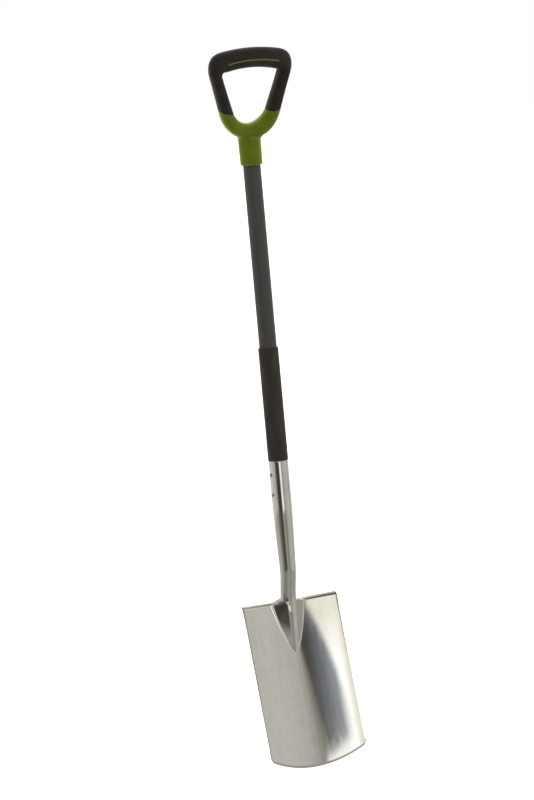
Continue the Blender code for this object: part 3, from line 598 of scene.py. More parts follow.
def loop_centre(reach):
    """Centre line at a distance from its lowest point: place, outward direction, shares of leg and bend.

    An arc under the gap, a straight leg, a tight bend and the grip's flat arch follow each other.
    """
    on_leg = np.clip(reach - YOKE_RUN, 0.0, LEG_LENGTH)
    bend_turn = np.clip((reach - LEG_END) / BEND_RUN, 0.0, 1.0)
    arch_turn = np.clip((reach - BEND_STOP) / ARCH_RUN, 0.0, None)
    past = [reach > BEND_STOP, reach > LEG_END, reach > YOKE_RUN]
    on_arch = BEND_END + (0.5 * math.pi - BEND_END) * arch_turn
    in_bend = -LEG_ANGLE + (BEND_END + LEG_ANGLE) * bend_turn
    under_gap = np.clip(reach / YOKE_RADIUS, 0.0, YOKE_TURN) - 0.5 * math.pi
    theta = np.select(past, [on_arch, in_bend, np.full_like(reach, -LEG_ANGLE)], under_gap)
    out_x, out_up = np.cos(theta), np.sin(theta)
    x = np.select(past, [
        GRIP_ARCH_RADIUS * out_x, BEND_CENTRE[0] + CORNER_BEND_RADIUS * out_x,
        LEG_START[0] + LEG_LINE[0] * on_leg,
    ], YOKE_RADIUS * out_x)
    up = np.select(past, [
        ARCH_CENTRE[1] + GRIP_ARCH_RADIUS * out_up, BEND_CENTRE[1] + CORNER_BEND_RADIUS * out_up,
        LEG_START[1] + LEG_LINE[1] * on_leg,
    ], YOKE_BOTTOM + YOKE_RADIUS * (1.0 + out_up))
    return x, up, out_x, out_up, on_leg / LEG_LENGTH, bend_turn


def squared_off(value):
    """A cosine or sine raised to two over the superellipse's power, with its sign kept."""
    return np.sign(value) * np.abs(value) ** (2.0 / SECTION_POWER)


def loop_surface(run, angle, inset=0.0):
    """Point of the loop's skin at a distance along it and an angle round its section.

    The section is a superellipse that leans forward at the yoke, is deeper behind than in front
    there, and grows towards the grip. In the bend it bulges on the outside and is filled on the
    inside, and a little of that runs out over the arch by the square of x. Negative runs are the
    left half.
    """
    run, angle = np.broadcast_arrays(run, angle)
    side = np.where(run < 0.0, -1.0, 1.0)
    reach = np.abs(run)
    x, up, out_x, out_up, on_leg, bend_turn = loop_centre(reach)
    yoke = smooth_step((-out_up - math.sin(LEG_ANGLE)) / (1.0 - math.sin(LEG_ANGLE)))
    grown = smooth_step(bend_turn) ** GROWTH_POWER
    half_width = LEG_HALF_WIDTH + (GRIP_HALF_HEIGHT - LEG_HALF_WIDTH) * grown
    half_width = half_width + (YOKE_HALF_WIDTH - LEG_HALF_WIDTH - LEG_FOOT_EXTRA) * yoke
    half_width = half_width + LEG_FOOT_EXTRA * (1.0 - on_leg) ** 2 - inset
    half_depth = LEG_HALF_DEPTH + (GRIP_HALF_DEPTH - LEG_HALF_DEPTH) * grown - inset
    behind = LEG_BACK_EXTRA * (1.0 - grown) + (YOKE_BACK_EXTRA - LEG_BACK_EXTRA) * yoke
    shear = LEG_SHEAR * (1.0 - grown) + (YOKE_SHEAR - LEG_SHEAR) * yoke

    fall = np.clip((bend_turn - CORNER_PEAK) / (1.0 - CORNER_PEAK), 0.0, 1.0)
    swell = smooth_step(bend_turn / CORNER_PEAK) - (1.0 - CORNER_RUN_OUT) * smooth_step(fall)
    swell = swell + CORNER_LANDING * CORNER_RUN_OUT * fall**2 * (1.0 - fall)
    run_out = CORNER_RUN_OUT * (x / (GRIP_ARCH_RADIUS * math.cos(BEND_END))) ** 2
    swell = np.where(reach > BEND_STOP, run_out, swell)

    cosine, sine = np.cos(angle), np.sin(angle)
    out = half_width * squared_off(cosine)
    depth = np.where(sine < 0.0, half_depth + behind, half_depth)
    forward = depth * squared_off(sine) + shear * out
    out = out + swell * CORNER_BULGE * np.maximum(0.0, cosine) ** CORNER_POWER
    out = out - swell * CORNER_FILL * np.maximum(0.0, -cosine) ** CORNER_POWER
    return in_handle(side * (x + out_x * out), up + out_up * out, forward)


def in_handle(x, height, forward):
    """Place of a point given across, up and out of the handle's leaning plane."""
    x, height, forward = np.broadcast_arrays(x, height, forward)
    sideways = np.stack([x, np.zeros_like(x), np.zeros_like(x)], axis=-1)
    return HANDLE_BASE + sideways + height[..., None] * HANDLE_UP + forward[..., None] * HANDLE_FRONT


def leg_cut(angle):
    """Distance along the loop where green meets black: higher on the outside and at the back."""
    out = LEG_HALF_WIDTH * squared_off(np.cos(angle))
    forward = LEG_HALF_DEPTH * squared_off(np.sin(angle))
    return YOKE_RUN + OVERMOULD_START + OVERMOULD_START_SLANT * out - OVERMOULD_BACK_RISE * forward


def yoke_skin():
    """The yoke between the two slanted ends, each end rounded over into a flat face."""
    angle = whole_turn()[None, :]
    share = np.linspace(-1.0, 1.0, 121)[:, None]
    rings = [loop_surface(share * (leg_cut(angle) - 0.0004), angle)]
    for inset, back in YOKE_END_RINGS:
        rings.append(loop_surface(leg_cut(angle) - back, angle, inset))
        rings.insert(0, loop_surface(back - leg_cut(angle), angle, inset))
    return ring_skin(np.concatenate(rings))


def skirt_target(azimuth, spread, inset=0.0):
    """Where the ferrule's skirt lands on the yoke: a closed curve round the yoke's underside.

    Beside the ferrule it lies under the arms, in front and behind on the yoke's two faces.
    """
    run = spread * YOKE_RADIUS * SKIRT_ALONG_YOKE * np.sin(azimuth)
    return loop_surface(run, spread * SKIRT_ROUND_YOKE * np.cos(azimuth), inset)


def ferrule_skin():
    """Ferrule with its blind bore, and a skirt of Hermite curves that lands along the yoke's skin."""
    azimuth = whole_turn(112)
    bore = SHAFT_RADIUS + FIT_GAP
    bore_end = SHAFT_IN_FERRULE + TOUCH_GAP
    lip = rounded_rim(FERRULE_RADIUS, 0.0, FERRULE_LIP_ROUNDING, -1.0, 10)
    sides = np.linspace(FERRULE_LIP_ROUNDING, FERRULE_LENGTH - 0.0005, 24)[1:]
    profile = np.concatenate([
        [(bore, bore_end), (bore, 0.0004), (bore + 0.0002, 0.0)],
        lip,
        np.stack([FERRULE_RADIUS + FERRULE_SHOULDER * sides / FERRULE_LENGTH, sides], axis=-1),
    ])
    body = turned(profile, len(azimuth))
    start = body[-1]
    target = skirt_target(azimuth, 1.0)
    leave = np.array([0.0, 0.0, 1.0])
    arrive = unit(skirt_target(azimuth, 1.02) - skirt_target(azimuth, 0.98))
    gap = np.linalg.norm(target - start, axis=-1, keepdims=True)
    share = np.linspace(0.0, 1.0, 25)[1:, None, None]
    skirt = (
        (2 * share**3 - 3 * share**2 + 1) * start
        + (share**3 - 2 * share**2 + share) * gap * leave
        + (3 * share**2 - 2 * share**3) * target
        + (share**3 - share**2) * gap * arrive
    )
    sunk = [skirt_target(azimuth, *place)[None] for place in SKIRT_SUNK_RINGS]
    return ring_skin(np.concatenate([body, skirt] + sunk))


def rib_skin():
    """Green rib: a round-edged bar carried along the grip's arch, just under the cover's face."""
    half = 0.5 * RIB_THICKNESS
    face = GRIP_HALF_DEPTH - RIB_RECESS
    root, rim, crown = face - 0.004, face - 0.0003, face - 0.00004
    section = np.array([
        (-half, root), (-half, rim), (-0.6 * half, crown), (0.0, face),
        (0.6 * half, crown), (half, rim), (half, root),
    ])
    half_angle = RIB_HALF_LENGTH / GRIP_ARCH_RADIUS
    turn = np.linspace(-half_angle, half_angle, 81)[:, None]
    radius = GRIP_ARCH_RADIUS - RIB_BELOW_CENTRE + section[None, :, 0]
    return ring_skin(in_handle(
        radius * np.sin(turn), ARCH_CENTRE[1] + radius * np.cos(turn), section[None, :, 1],
    ))


def cover_angles(run):
    """Angles where the cover's columns change step: both walls of the rib's slot, and a full circle.

    A slot's edge lies where the superellipse of nearly the section's own half width passes it.
    """
    arch_turn = np.clip((np.abs(run) - BEND_STOP) / ARCH_RUN, 0.0, 1.0)
    early = 1.0 - (1.0 - np.clip(arch_turn / 0.3, 0.0, 1.0)) ** 1.27
    bend_turn = np.clip((np.abs(run) - LEG_END) / BEND_RUN, 0.0, 1.0)
    grown = smooth_step(0.7 * bend_turn + 0.3 * early)
    half_width = LEG_HALF_WIDTH + (GRIP_HALF_HEIGHT - LEG_HALF_WIDTH) * grown
    half = 0.5 * RIB_THICKNESS + 0.6 * FIT_GAP
    places = np.array([-RIB_BELOW_CENTRE + half, -RIB_BELOW_CENTRE - half])
    edges = np.arccos(-np.abs(places / half_width) ** (SECTION_POWER / 2.0))
    wall = math.radians(0.8)
    zero, full = np.zeros_like(half_width), np.full_like(half_width, 2.0 * math.pi)
    return [zero, edges[:, :1] - wall, edges[:, :1], edges[:, 1:], edges[:, 1:] + wall, full]


def cover_skin():
    """Soft black cover from leg to leg over the grip, with a slot pressed in over the rib."""
    steps = np.concatenate([
        start + np.linspace(0.0, 1.0, count, endpoint=False) for start, count in enumerate(COVER_COLUMNS)
    ])[None, :]
    arch_middle = HALF_LOOP - YOKE_RUN
    slot_end = arch_middle - RIB_HALF_LENGTH - 0.6 * FIT_GAP
    on_leg = np.linspace(0.0, LEG_LENGTH, 24)[:-1]
    to_slot = np.linspace(LEG_LENGTH, slot_end - 0.0006, 44)[:-1]
    at_slot = slot_end + np.array([-0.0003, 0.0, SLOT_WALL])
    over_rib = np.linspace(slot_end + 0.001, arch_middle, 36)
    past_yoke = np.concatenate([on_leg, to_slot, at_slot, over_rib])[:, None]
    knots = cover_angles(YOKE_RUN + past_yoke)
    angle = sum((knots[i + 1] - knots[i]) * np.clip(steps - i, 0.0, 1.0) for i in range(5))
    cut = leg_cut(angle) + TOUCH_GAP + 0.0004 - YOKE_RUN
    run = YOKE_RUN + past_yoke + cut * (1.0 - smooth_step(past_yoke / COVER_CUT_RUN_OUT))
    in_slot = np.clip(np.minimum(steps - 1.0, 4.0 - steps), 0.0, 1.0)
    along = np.clip((past_yoke - slot_end) / SLOT_WALL, 0.0, 1.0)
    rings = [loop_surface(run[:1] - back, angle[:1], inset) for inset, back in COVER_END_RINGS]
    rings.append(loop_surface(run, angle, SLOT_DEPTH * in_slot * along))
    right = np.concatenate(rings)
    left = right[-2::-1] * np.array([-1.0, 1.0, 1.0])
    return ring_skin(np.concatenate([right, left]))


# Screw at the back of the ferrule
def screw_skin():
    """Pan head with a cross recess: rings follow the recess's outline inside, the rim outside.

    A cross is the larger of two bars' distances, half a bar's size over the angle's cosine or sine.
    """
    taper = FERRULE_SHOULDER * (SCREW_HEIGHT + SCREW_HEAD_RADIUS) / FERRULE_LENGTH
    seat = FERRULE_RADIUS + taper + TOUCH_GAP
    top, shoulder = seat + SCREW_HEAD_HEIGHT, seat + 0.0019
    corner = math.degrees(math.atan2(SCREW_RECESS_WIDTH, SCREW_RECESS_LENGTH))
    octant = np.array([0.0, corner * 0.5, corner, corner + 0.1, 17.0, 26.0, 36.0])
    quarter = np.concatenate([octant, [45.0], 90.0 - octant[:0:-1]])
    angle = np.radians(np.concatenate([quarter + 90.0 * step for step in range(4)]))
    half_long, half_wide = 0.5 * SCREW_RECESS_LENGTH, 0.5 * SCREW_RECESS_WIDTH
    cosine, sine = np.abs(np.cos(angle)) + 1e-9, np.abs(np.sin(angle)) + 1e-9
    across = np.minimum(half_long / cosine, half_wide / sine)
    upright = np.minimum(half_wide / cosine, half_long / sine)
    recess = np.maximum(across, upright)
    rings = [
        (0.3 * SCREW_SHANK_RADIUS, seat - SCREW_SHANK_DEPTH),
        (SCREW_SHANK_RADIUS, seat - SCREW_SHANK_DEPTH + SCREW_SHANK_RADIUS),
        (SCREW_SHANK_RADIUS, seat), (SCREW_HEAD_RADIUS - 0.0001, seat),
    ]
    for turn in np.linspace(0.0, 0.5 * math.pi, 8):
        radius = SCREW_HEAD_RADIUS * (0.72 + 0.28 * math.cos(turn))
        rings.append((radius, seat + 0.0002 + 0.0017 * math.sin(turn)))
    for share in (0.6, 0.3, 0.08):
        radius = recess + (0.72 * SCREW_HEAD_RADIUS - recess) * share
        rings.append((radius, shoulder + (top - shoulder) * (1.0 - share)))
    for share, depth in ((1.0, 0.00005), (0.93, 0.6 * SCREW_RECESS_DEPTH), (0.55, SCREW_RECESS_DEPTH)):
        rings.append((recess * share, top - depth))
    points = []
    for radius, along in rings:
        x, z = radius * np.cos(angle), radius * np.sin(angle)
        points.append(np.stack([x, np.full_like(x, along), SCREW_HEIGHT + z], axis=-1))
    return ring_skin(np.array(points))


# Materials
def linear(code, brightness=1.0):
    """Linear colour of an sRGB hex code, times a brightness."""
    values = [int(code[index:index + 2], 16) / 255.0 for index in (0, 2, 4)]
    curve = [value / 12.92 if value <= 0.04045 else ((value + 0.055) / 1.055) ** 2.4 for value in values]
    return [brightness * value for value in curve] + [1.0]


def add_node(tree, kind, inputs=(), stops=(), **settings):
    """A node with its settings. An input is a value, or the node or output that is linked to it."""
    node = tree.nodes.new("ShaderNode" + kind)
    for name, value in settings.items():
        setattr(node, name, value)
    for key, value in dict(inputs).items():
        if isinstance(value, bpy.types.Node):
            value = value.outputs[0]
        if isinstance(value, bpy.types.NodeSocket):
            tree.links.new(value, node.inputs[key])
        else:
            node.inputs[key].default_value = value
    if stops:
        points = node.color_ramp.elements
        points.remove(points[1])
        points[0].position, points[0].color = stops[0]
        for place, colour in stops[1:]:
            points.new(place).color = colour
    return node


def cleared_tree(holder):
    """The node tree of a material or a world, emptied."""
    holder.use_nodes = True
    holder.node_tree.nodes.clear()
    return holder.node_tree


def start_material(name, constants):
    """A material with its output, its shader set to some constants, and coordinates in metres."""
    material = bpy.data.materials.new(name)
    tree = cleared_tree(material)
    shader = add_node(tree, "BsdfPrincipled", constants)
    add_node(tree, "OutputMaterial", {"Surface": shader})
    place = add_node(tree, "TexCoord").outputs["Object"]
    return material, tree, shader, place


def finish_surface(tree, shader, tints, rough, bump):
    """Works a surface's colour, roughness and bump out of patterns and links them to its shader.

    The tints are a pattern and its (place, sRGB hex) pairs. Rough is a pattern and the roughness
    where it is 0.3 and where it is 0.7. The bump is a pattern, its depth in metres and its strength.
    """
    stops = [(place, linear(code)) for place, code in tints[1:]]
    colour = add_node(tree, "ValToRGB", {"Fac": tints[0]}, stops).outputs[0]
    roughness = add_node(tree, "MapRange", {
        "Value": rough[0], "From Min": 0.3, "From Max": 0.7, "To Min": rough[1], "To Max": rough[2],
    }).outputs[0]
    normal = add_node(tree, "Bump", {"Height": bump[0], "Distance": bump[1], "Strength": bump[2]})
    tree.links.new(colour, shader.inputs["Base Color"])
    tree.links.new(roughness, shader.inputs["Roughness"])
    tree.links.new(normal.outputs[0], shader.inputs["Normal"])
    return colour, roughness


def polished_stainless(cut_edge=False):
    """Stainless steel, pressed and polished lengthwise: a soft grey mirror with faint lines and smears.

    Along the blade's rim the colour turns a darker, duller grey and the roughness rises, in a line 1.5 mm
    wide.
    The blade's cut edge is left unpolished: a dull grey line 1.5 mm wide.
    """
    material, tree, shader, place = start_material("polished_stainless_steel", {"Metallic": 1.0})
    along = add_node(tree, "Mapping", {"Vector": place, "Scale": (900.0, 900.0, 9.0)})
    lines = add_node(tree, "TexNoise", {"Vector": along, "Scale": 1.0, "Detail": 3.0})
    stains = add_node(tree, "TexNoise", {"Vector": place, "Scale": 24.0, "Detail": 3.0})
    smears = add_node(tree, "Mapping", {"Vector": place, "Scale": (130.0, 130.0, 26.0)})
    smears = add_node(tree, "TexNoise", {"Vector": smears, "Scale": 1.0, "Detail": 3.0})
    marks = add_node(tree, "Math", {0: stains, 1: smears}, operation="ADD")
    marks = add_node(tree, "Math", {0: marks, 1: 0.5}, operation="MULTIPLY")
    colour, roughness = finish_surface(
        tree, shader, (marks, (0.36, "D0CDC5"), (0.5, "D6D4CC"), (0.64, "D9D7D0")),
        (smears, 0.03, 0.045), (lines, 0.0002, 0.006),
    )
    if cut_edge:
        distance = add_node(tree, "Attribute", attribute_name="from_edge").outputs["Fac"]
        edge = add_node(tree, "MapRange", {"Value": distance, "From Min": 0.0018, "From Max": 0.0011})
        dull = add_node(tree, "Mix", {0: edge, 6: colour, 7: linear("B3B0A9")}, data_type="RGBA")
        blunt = add_node(tree, "Mix", {0: edge, 2: roughness, 3: 0.3})
        tree.links.new(dull.outputs[2], shader.inputs["Base Color"])
        tree.links.new(blunt.outputs[0], shader.inputs["Roughness"])
    return material


def powder_coat():
    """Polyester powder coat on steel tube, sprayed and baked: satin grey with fine orange peel.

    Its speckle is drawn 0.5 mm wide, coarser than a real one, so that it shows.
    """
    material, tree, shader, place = start_material("satin_powder_coat", {"Specular IOR Level": 0.35})
    peel = add_node(tree, "TexNoise", {"Vector": place, "Scale": 700.0, "Detail": 2.0})
    speckle = add_node(tree, "TexNoise", {"Vector": place, "Scale": 2200.0, "Detail": 1.0})
    clouds = add_node(tree, "TexNoise", {"Vector": place, "Scale": 22.0, "Detail": 2.0})
    finish_surface(
        tree, shader, (speckle, (0.35, "33312E"), (0.5, "373532"), (0.65, "3D3B38")),
        (clouds, 0.36, 0.46), (peel, 0.0002, 0.2),
    )
    return material


def foam_sleeve():
    """Closed-cell foam rubber, extruded and skinned: matt black with fine pores and a few rubbed marks.

    Real pores are about 0.3 mm wide; they are drawn 0.9 mm wide so that they show.
    """
    material, tree, shader, place = start_material("skinned_foam_rubber", {
        "Specular IOR Level": 0.22, "Sheen Weight": 0.05, "Sheen Roughness": 0.4,
    })
    pores = add_node(tree, "TexVoronoi", {"Vector": place, "Scale": 1100.0})
    rubbed = add_node(tree, "Mapping", {"Vector": place, "Scale": (90.0, 90.0, 26.0)})
    rubbed = add_node(tree, "TexNoise", {"Vector": rubbed, "Scale": 1.0, "Detail": 4.0})
    finish_surface(
        tree, shader, (rubbed, (0.33, "28221E"), (0.52, "2C2621"), (0.7, "352E2A")),
        (rubbed, 0.68, 0.52), (pores, 0.00015, 0.3),
    )
    return material


def green_moulding():
    """Polypropylene, injection moulded in a satin mould: even lime green with faint flow marks.

    The rib on the grip has a painted sheen: greyish yellow-green mixed in for the light it reflects.
    The mould's satin grain is about 0.1 mm wide and is drawn 0.7 mm wide so that it shows.
    """
    material, tree, shader, place = start_material("moulded_polypropylene", {
        "Specular IOR Level": 0.12, "Sheen Weight": 0.95, "Sheen Roughness": 0.4,
        "Sheen Tint": linear("DEEC86"),
    })
    grain = add_node(tree, "TexNoise", {"Vector": place, "Scale": 1500.0, "Detail": 1.0})
    flow = add_node(tree, "Mapping", {"Vector": place, "Scale": (60.0, 60.0, 30.0)})
    flow = add_node(tree, "TexNoise", {"Vector": flow, "Scale": 1.0, "Detail": 3.0})
    colour, _ = finish_surface(
        tree, shader, (flow, (0.34, "485601"), (0.5, "4C5A02"), (0.66, "515F03")),
        (flow, 0.34, 0.42), (grain, 0.0001, 0.15),
    )
    # Painted sheen: on the rib, above the yoke, the green is mixed towards a greyish yellow-green that
    # stands for reflected light.
    height = add_node(tree, "SeparateXYZ", {"Vector": place}).outputs["Z"]
    rib_sheen_mask = add_node(tree, "MapRange", {"Value": height, "From Min": -0.04, "From Max": -0.02})
    painted_rib_sheen = add_node(tree, "Mix", {0: rib_sheen_mask, 6: colour, 7: linear("5C5C30")}, data_type="RGBA")
    tree.links.new(painted_rib_sheen.outputs[2], shader.inputs["Base Color"])
    return material


def soft_cover():
    """Thermoplastic elastomer, overmoulded in an etched mould: matt black with a soft grain.

    A real etched grain is about 0.2 mm wide; it is drawn 0.8 mm wide so that it shows.
    """
    material, tree, shader, place = start_material("etched_soft_elastomer", {
        "Specular IOR Level": 0.14, "Sheen Weight": 0.14, "Sheen Roughness": 0.4,
    })
    grain = add_node(tree, "TexVoronoi", {"Vector": place, "Scale": 1300.0})
    worn = add_node(tree, "TexNoise", {"Vector": place, "Scale": 45.0, "Detail": 4.0})
    finish_surface(
        tree, shader, (worn, (0.34, "1F1A16"), (0.52, "221D19"), (0.68, "28231F")),
        (worn, 0.5, 0.38), (grain, 0.0001, 0.25),
    )
    return material


def rivet_metal():
    """Steel rivet, cold headed and polished over: grey with pressing marks."""
    material, tree, shader, place = start_material("headed_rivet_steel", {"Metallic": 1.0})
    marks = add_node(tree, "TexNoise", {"Vector": place, "Scale": 1500.0, "Detail": 2.0})
    tints = marks, (0.35, "A5A39C"), (0.65, "BDBBB4")
    finish_surface(tree, shader, tints, (marks, 0.25, 0.36), (marks, 0.0001, 0.2))
    return material


def zinc_plate():
    """Zinc plate on a cold-headed screw: bright bluish grey, slightly cloudy."""
    material, tree, shader, place = start_material("bright_zinc_plate", {"Metallic": 1.0})
    clouds = add_node(tree, "TexNoise", {"Vector": place, "Scale": 900.0, "Detail": 2.0})
    tints = clouds, (0.35, "B5B9BC"), (0.65, "CDCFCF")
    finish_surface(tree, shader, tints, (clouds, 0.22, 0.34), (clouds, 0.0001, 0.15))
    return material


# Pieces
stainless = polished_stainless()
blade_points, blade_faces, from_edge = blade_skin()
blade = add_piece(
    "blade_sheet", [(blade_points, blade_faces)], polished_stainless(cut_edge=True),
    ["blade"], 40.0,
)
blade.data.attributes.new("from_edge", "FLOAT", "POINT").data.foreach_set("value", from_edge)
add_piece("socket_tube", [socket_skin()], stainless, ["neck_socket"])

shaft_skin = tube_skin(
    SHAFT_RADIUS, SHAFT_RADIUS - SHAFT_WALL, SOCKET_TOP - SHAFT_IN_SOCKET, SHAFT_IN_FERRULE,
    SHAFT_END_ROUNDING,
)
add_piece("coated_tube", [shaft_skin], powder_coat(), ["shaft_tube"])
sleeve_bore = SHAFT_RADIUS + FIT_GAP
sleeve_skin = tube_skin(
    sleeve_bore + SLEEVE_WALL, sleeve_bore, SLEEVE_TOP - SLEEVE_LENGTH, SLEEVE_TOP, SLEEVE_END_ROUNDING,
)
add_piece("foam_sleeve", [sleeve_skin], foam_sleeve(), ["grip_sleeve"])

rivet_steel = rivet_metal()
upper_rivet = SOCKET_TOP - RIVET_UPPER_DROP
for side, height in (("upper", upper_rivet), ("lower", upper_rivet - RIVET_SPACING)):
    add_piece(side + "_rivet", [rivet_skin(height)], rivet_steel, ["rivet_" + side])

green_skins = [yoke_skin(), ferrule_skin(), rib_skin()]
add_piece("green_moulding", green_skins, green_moulding(), ["handle_core"], 50.0)
add_piece("soft_cover", [cover_skin()], soft_cover(), ["grip_overmould"], 50.0)
add_piece("back_screw", [screw_skin()], zinc_plate(), ["handle_screw"])


# Floor, studio and lamp
def add_floor():
    """A wide pale floor just under the blade's tip; camera rays get a little extra white."""
    height = cad_box[0][2] - 0.001
    reach = 60.0
    corners = [(x * reach, y * reach, height) for x, y in ((-1, -1), (1, -1), (1, 1), (-1, 1))]
    mesh = bpy.data.meshes.new("floor")
    mesh.from_pydata(corners, [], [(0, 1, 2, 3)])
    floor = add_object("floor", mesh)
    material = bpy.data.materials.new("pale_floor")
    tree = cleared_tree(material)
    camera_ray = add_node(tree, "LightPath").outputs["Is Camera Ray"]
    seen = add_node(tree, "Math", {0: camera_ray, 1: 0.45}, operation="MULTIPLY")
    diffuse = add_node(tree, "BsdfDiffuse", {"Color": (0.8, 0.8, 0.79, 1.0)})
    glow = add_node(tree, "Emission", {"Strength": seen})
    both = add_node(tree, "AddShader", {0: diffuse, 1: glow})
    add_node(tree, "OutputMaterial", {"Surface": both})
    mesh.materials.append(material)
    floor.visible_glossy = False


# The studio that polished metal shows, in bands from the floor up. Each band has the height where
# it starts and how softly, then azimuths from -Y towards +X, all in degrees, with a brightness and,
# where it isn't the plain white, a tint. Behind the spade hangs a white sweep, the camera stands in
# a dark gap, and grey flats stand aside.
PLAIN, WARM, CREAM, COOL = "FFFDF9", "FFF4DC", "FFFCF1", "E4EEFF"
GAP_BAND = 3.5
STUDIO_BANDS = [
    (-90.0, 0.0, [
        (-180, 0.62), (-128, 0.27), (-90, 0.4), (-72, 0.25), (-45, 0.32), (-26, 0.42), (4, 0.34), (40, 0.44),
        (81, 0.42), (105, 0.5), (150, 0.8), (180, 0.62),
    ]),
    (-16.5, 3.5, [
        (-180, 0.62), (-150, 0.6), (-116, 0.5), (-99, 0.42), (-82, 0.24), (-67, 0.13, WARM),
        (-54, 0.105, WARM), (-42, 0.09, WARM), (-37, 0.1, WARM), (-32, 0.32), (-24, 0.44),
        (-12, 0.34), (-2, 0.27), (6, 0.34), (18, 0.5), (50, 0.61),
        (86, 0.5), (108, 0.75), (150, 0.75), (180, 0.75),
    ]),
    (-8.6, 0.5, [
        (-180, 0.8), (-142, 0.8), (-108, 0.66), (-92, 0.58), (-80, 0.44), (-69, 0.16),
        (-60, 0.065, WARM), (-37, 0.065, WARM), (-28, 0.4), (-24, 1.3), (-10, 1.2), (-5, 0.5),
        (3, 0.42), (18, 0.56), (60, 0.67), (80, 0.47), (105, 0.8), (140, 0.8), (180, 0.8),
    ]),
    (-5.6, 0.4, [
        (-180, 1.05), (-140, 0.9), (-92, 0.6), (-80, 0.4), (-66, 0.1, WARM), (-42, 0.07, WARM),
        (-36, 0.8), (-24, 0.8), (-14, 0.38), (10, 0.46), (60, 0.6), (80, 0.5), (105, 0.85), (140, 1.0),
        (180, 1.05),
    ]),
    (GAP_BAND, 1.0, [
        (-180, 0.9), (-140, 0.8), (-100, 0.6), (-80, 0.4), (-66, 0.09), (-36, 0.09), (3, 0.7, COOL),
        (11, 0.43, COOL), (15, 0.27, COOL), (19, 0.16, "E8F0FF"), (23, 0.08), (28.3, 0.08),
        (28.4, 0.52), (31, 0.59), (38, 0.64), (48, 0.69), (60, 0.66), (84, 0.5), (115, 0.8), (150, 1.0),
        (180, 0.9),
    ]),
    (15.5, 1.0, [
        (-180, 0.9), (-139, 0.83), (-106, 0.72), (-52, 0.64), (-35, 0.25), (0, 0.08), (20, 0.08),
        (40, 0.25), (60, 0.47), (90, 0.6), (110, 0.85), (140, 0.9), (180, 0.9),
    ]),
    (44.0, 8.0, [
        (-180, 0.6), (-60, 0.5), (-20, 0.26), (20, 0.26), (60, 0.6), (110, 0.75), (140, 0.6), (180, 0.6),
    ]),
]
STUDIO_RANGE = 2.0
CAMERA_AZIMUTH = math.radians(-30.0)


def add_studio():
    """White behind the spade; polished metal sees the studio's bands; other surfaces an even light."""
    world = bpy.data.worlds.new("studio")
    bpy.context.scene.world = world
    tree = cleared_tree(world)
    direction = add_node(tree, "TexCoord").outputs["Generated"]
    axes = add_node(tree, "SeparateXYZ", {"Vector": direction})
    minus_y = add_node(tree, "Math", {0: axes.outputs[1], 1: -1.0}, operation="MULTIPLY")
    turn = add_node(tree, "Math", {0: axes.outputs[0], 1: minus_y}, operation="ARCTAN2")
    azimuth = add_node(tree, "Math", {0: turn}, operation="DEGREES")
    rise = add_node(tree, "Math", {0: axes.outputs[2]}, operation="ARCSINE")
    elevation = add_node(tree, "Math", {0: rise}, operation="DEGREES")
    share = add_node(tree, "MapRange", {"Value": azimuth, "From Min": -180.0, "From Max": 180.0})
    colour = None
    for start, soft, places in STUDIO_BANDS:
        stops = []
        for place, grey, *tint in places:
            stops.append((place / 360.0 + 0.5, linear(*(tint or [PLAIN]), grey / STUDIO_RANGE)))
        band = add_node(tree, "ValToRGB", {"Fac": share}, stops).outputs[0]
        if colour is None:
            colour = band
            continue
        if start == GAP_BAND:
            band = add_softbox(tree, azimuth, elevation, band)
        mask = add_node(tree, "MapRange", {
            "Value": elevation, "From Min": start - soft, "From Max": start + soft,
        }, interpolation_type="SMOOTHSTEP")
        colour = add_node(tree, "Mix", {0: mask, 6: colour, 7: band}, data_type="RGBA").outputs[2]
    camera_side = (math.sin(CAMERA_AZIMUTH), -math.cos(CAMERA_AZIMUTH), 0.0)
    facing = add_node(tree, "VectorMath", {0: direction, 1: camera_side}, operation="DOT_PRODUCT")
    level = add_node(tree, "MapRange", {
        "Value": facing.outputs["Value"], "From Min": -1.0, "From Max": 1.0, "To Min": 2.4, "To Max": 0.4,
    })
    rays = add_node(tree, "LightPath")
    reflected = add_node(tree, "Background", {"Color": colour, "Strength": STUDIO_RANGE})
    even = add_node(tree, "Background", {"Color": (1.0, 1.0, 0.99, 1.0), "Strength": level})
    white = add_node(tree, "Background", {"Color": (1.0, 1.0, 1.0, 1.0), "Strength": 1.0})
    soft = add_node(tree, "MixShader", {0: rays.outputs["Is Glossy Ray"], 1: even, 2: reflected})
    final = add_node(tree, "MixShader", {0: rays.outputs["Is Camera Ray"], 1: soft, 2: white})
    add_node(tree, "OutputWorld", {"Surface": final})


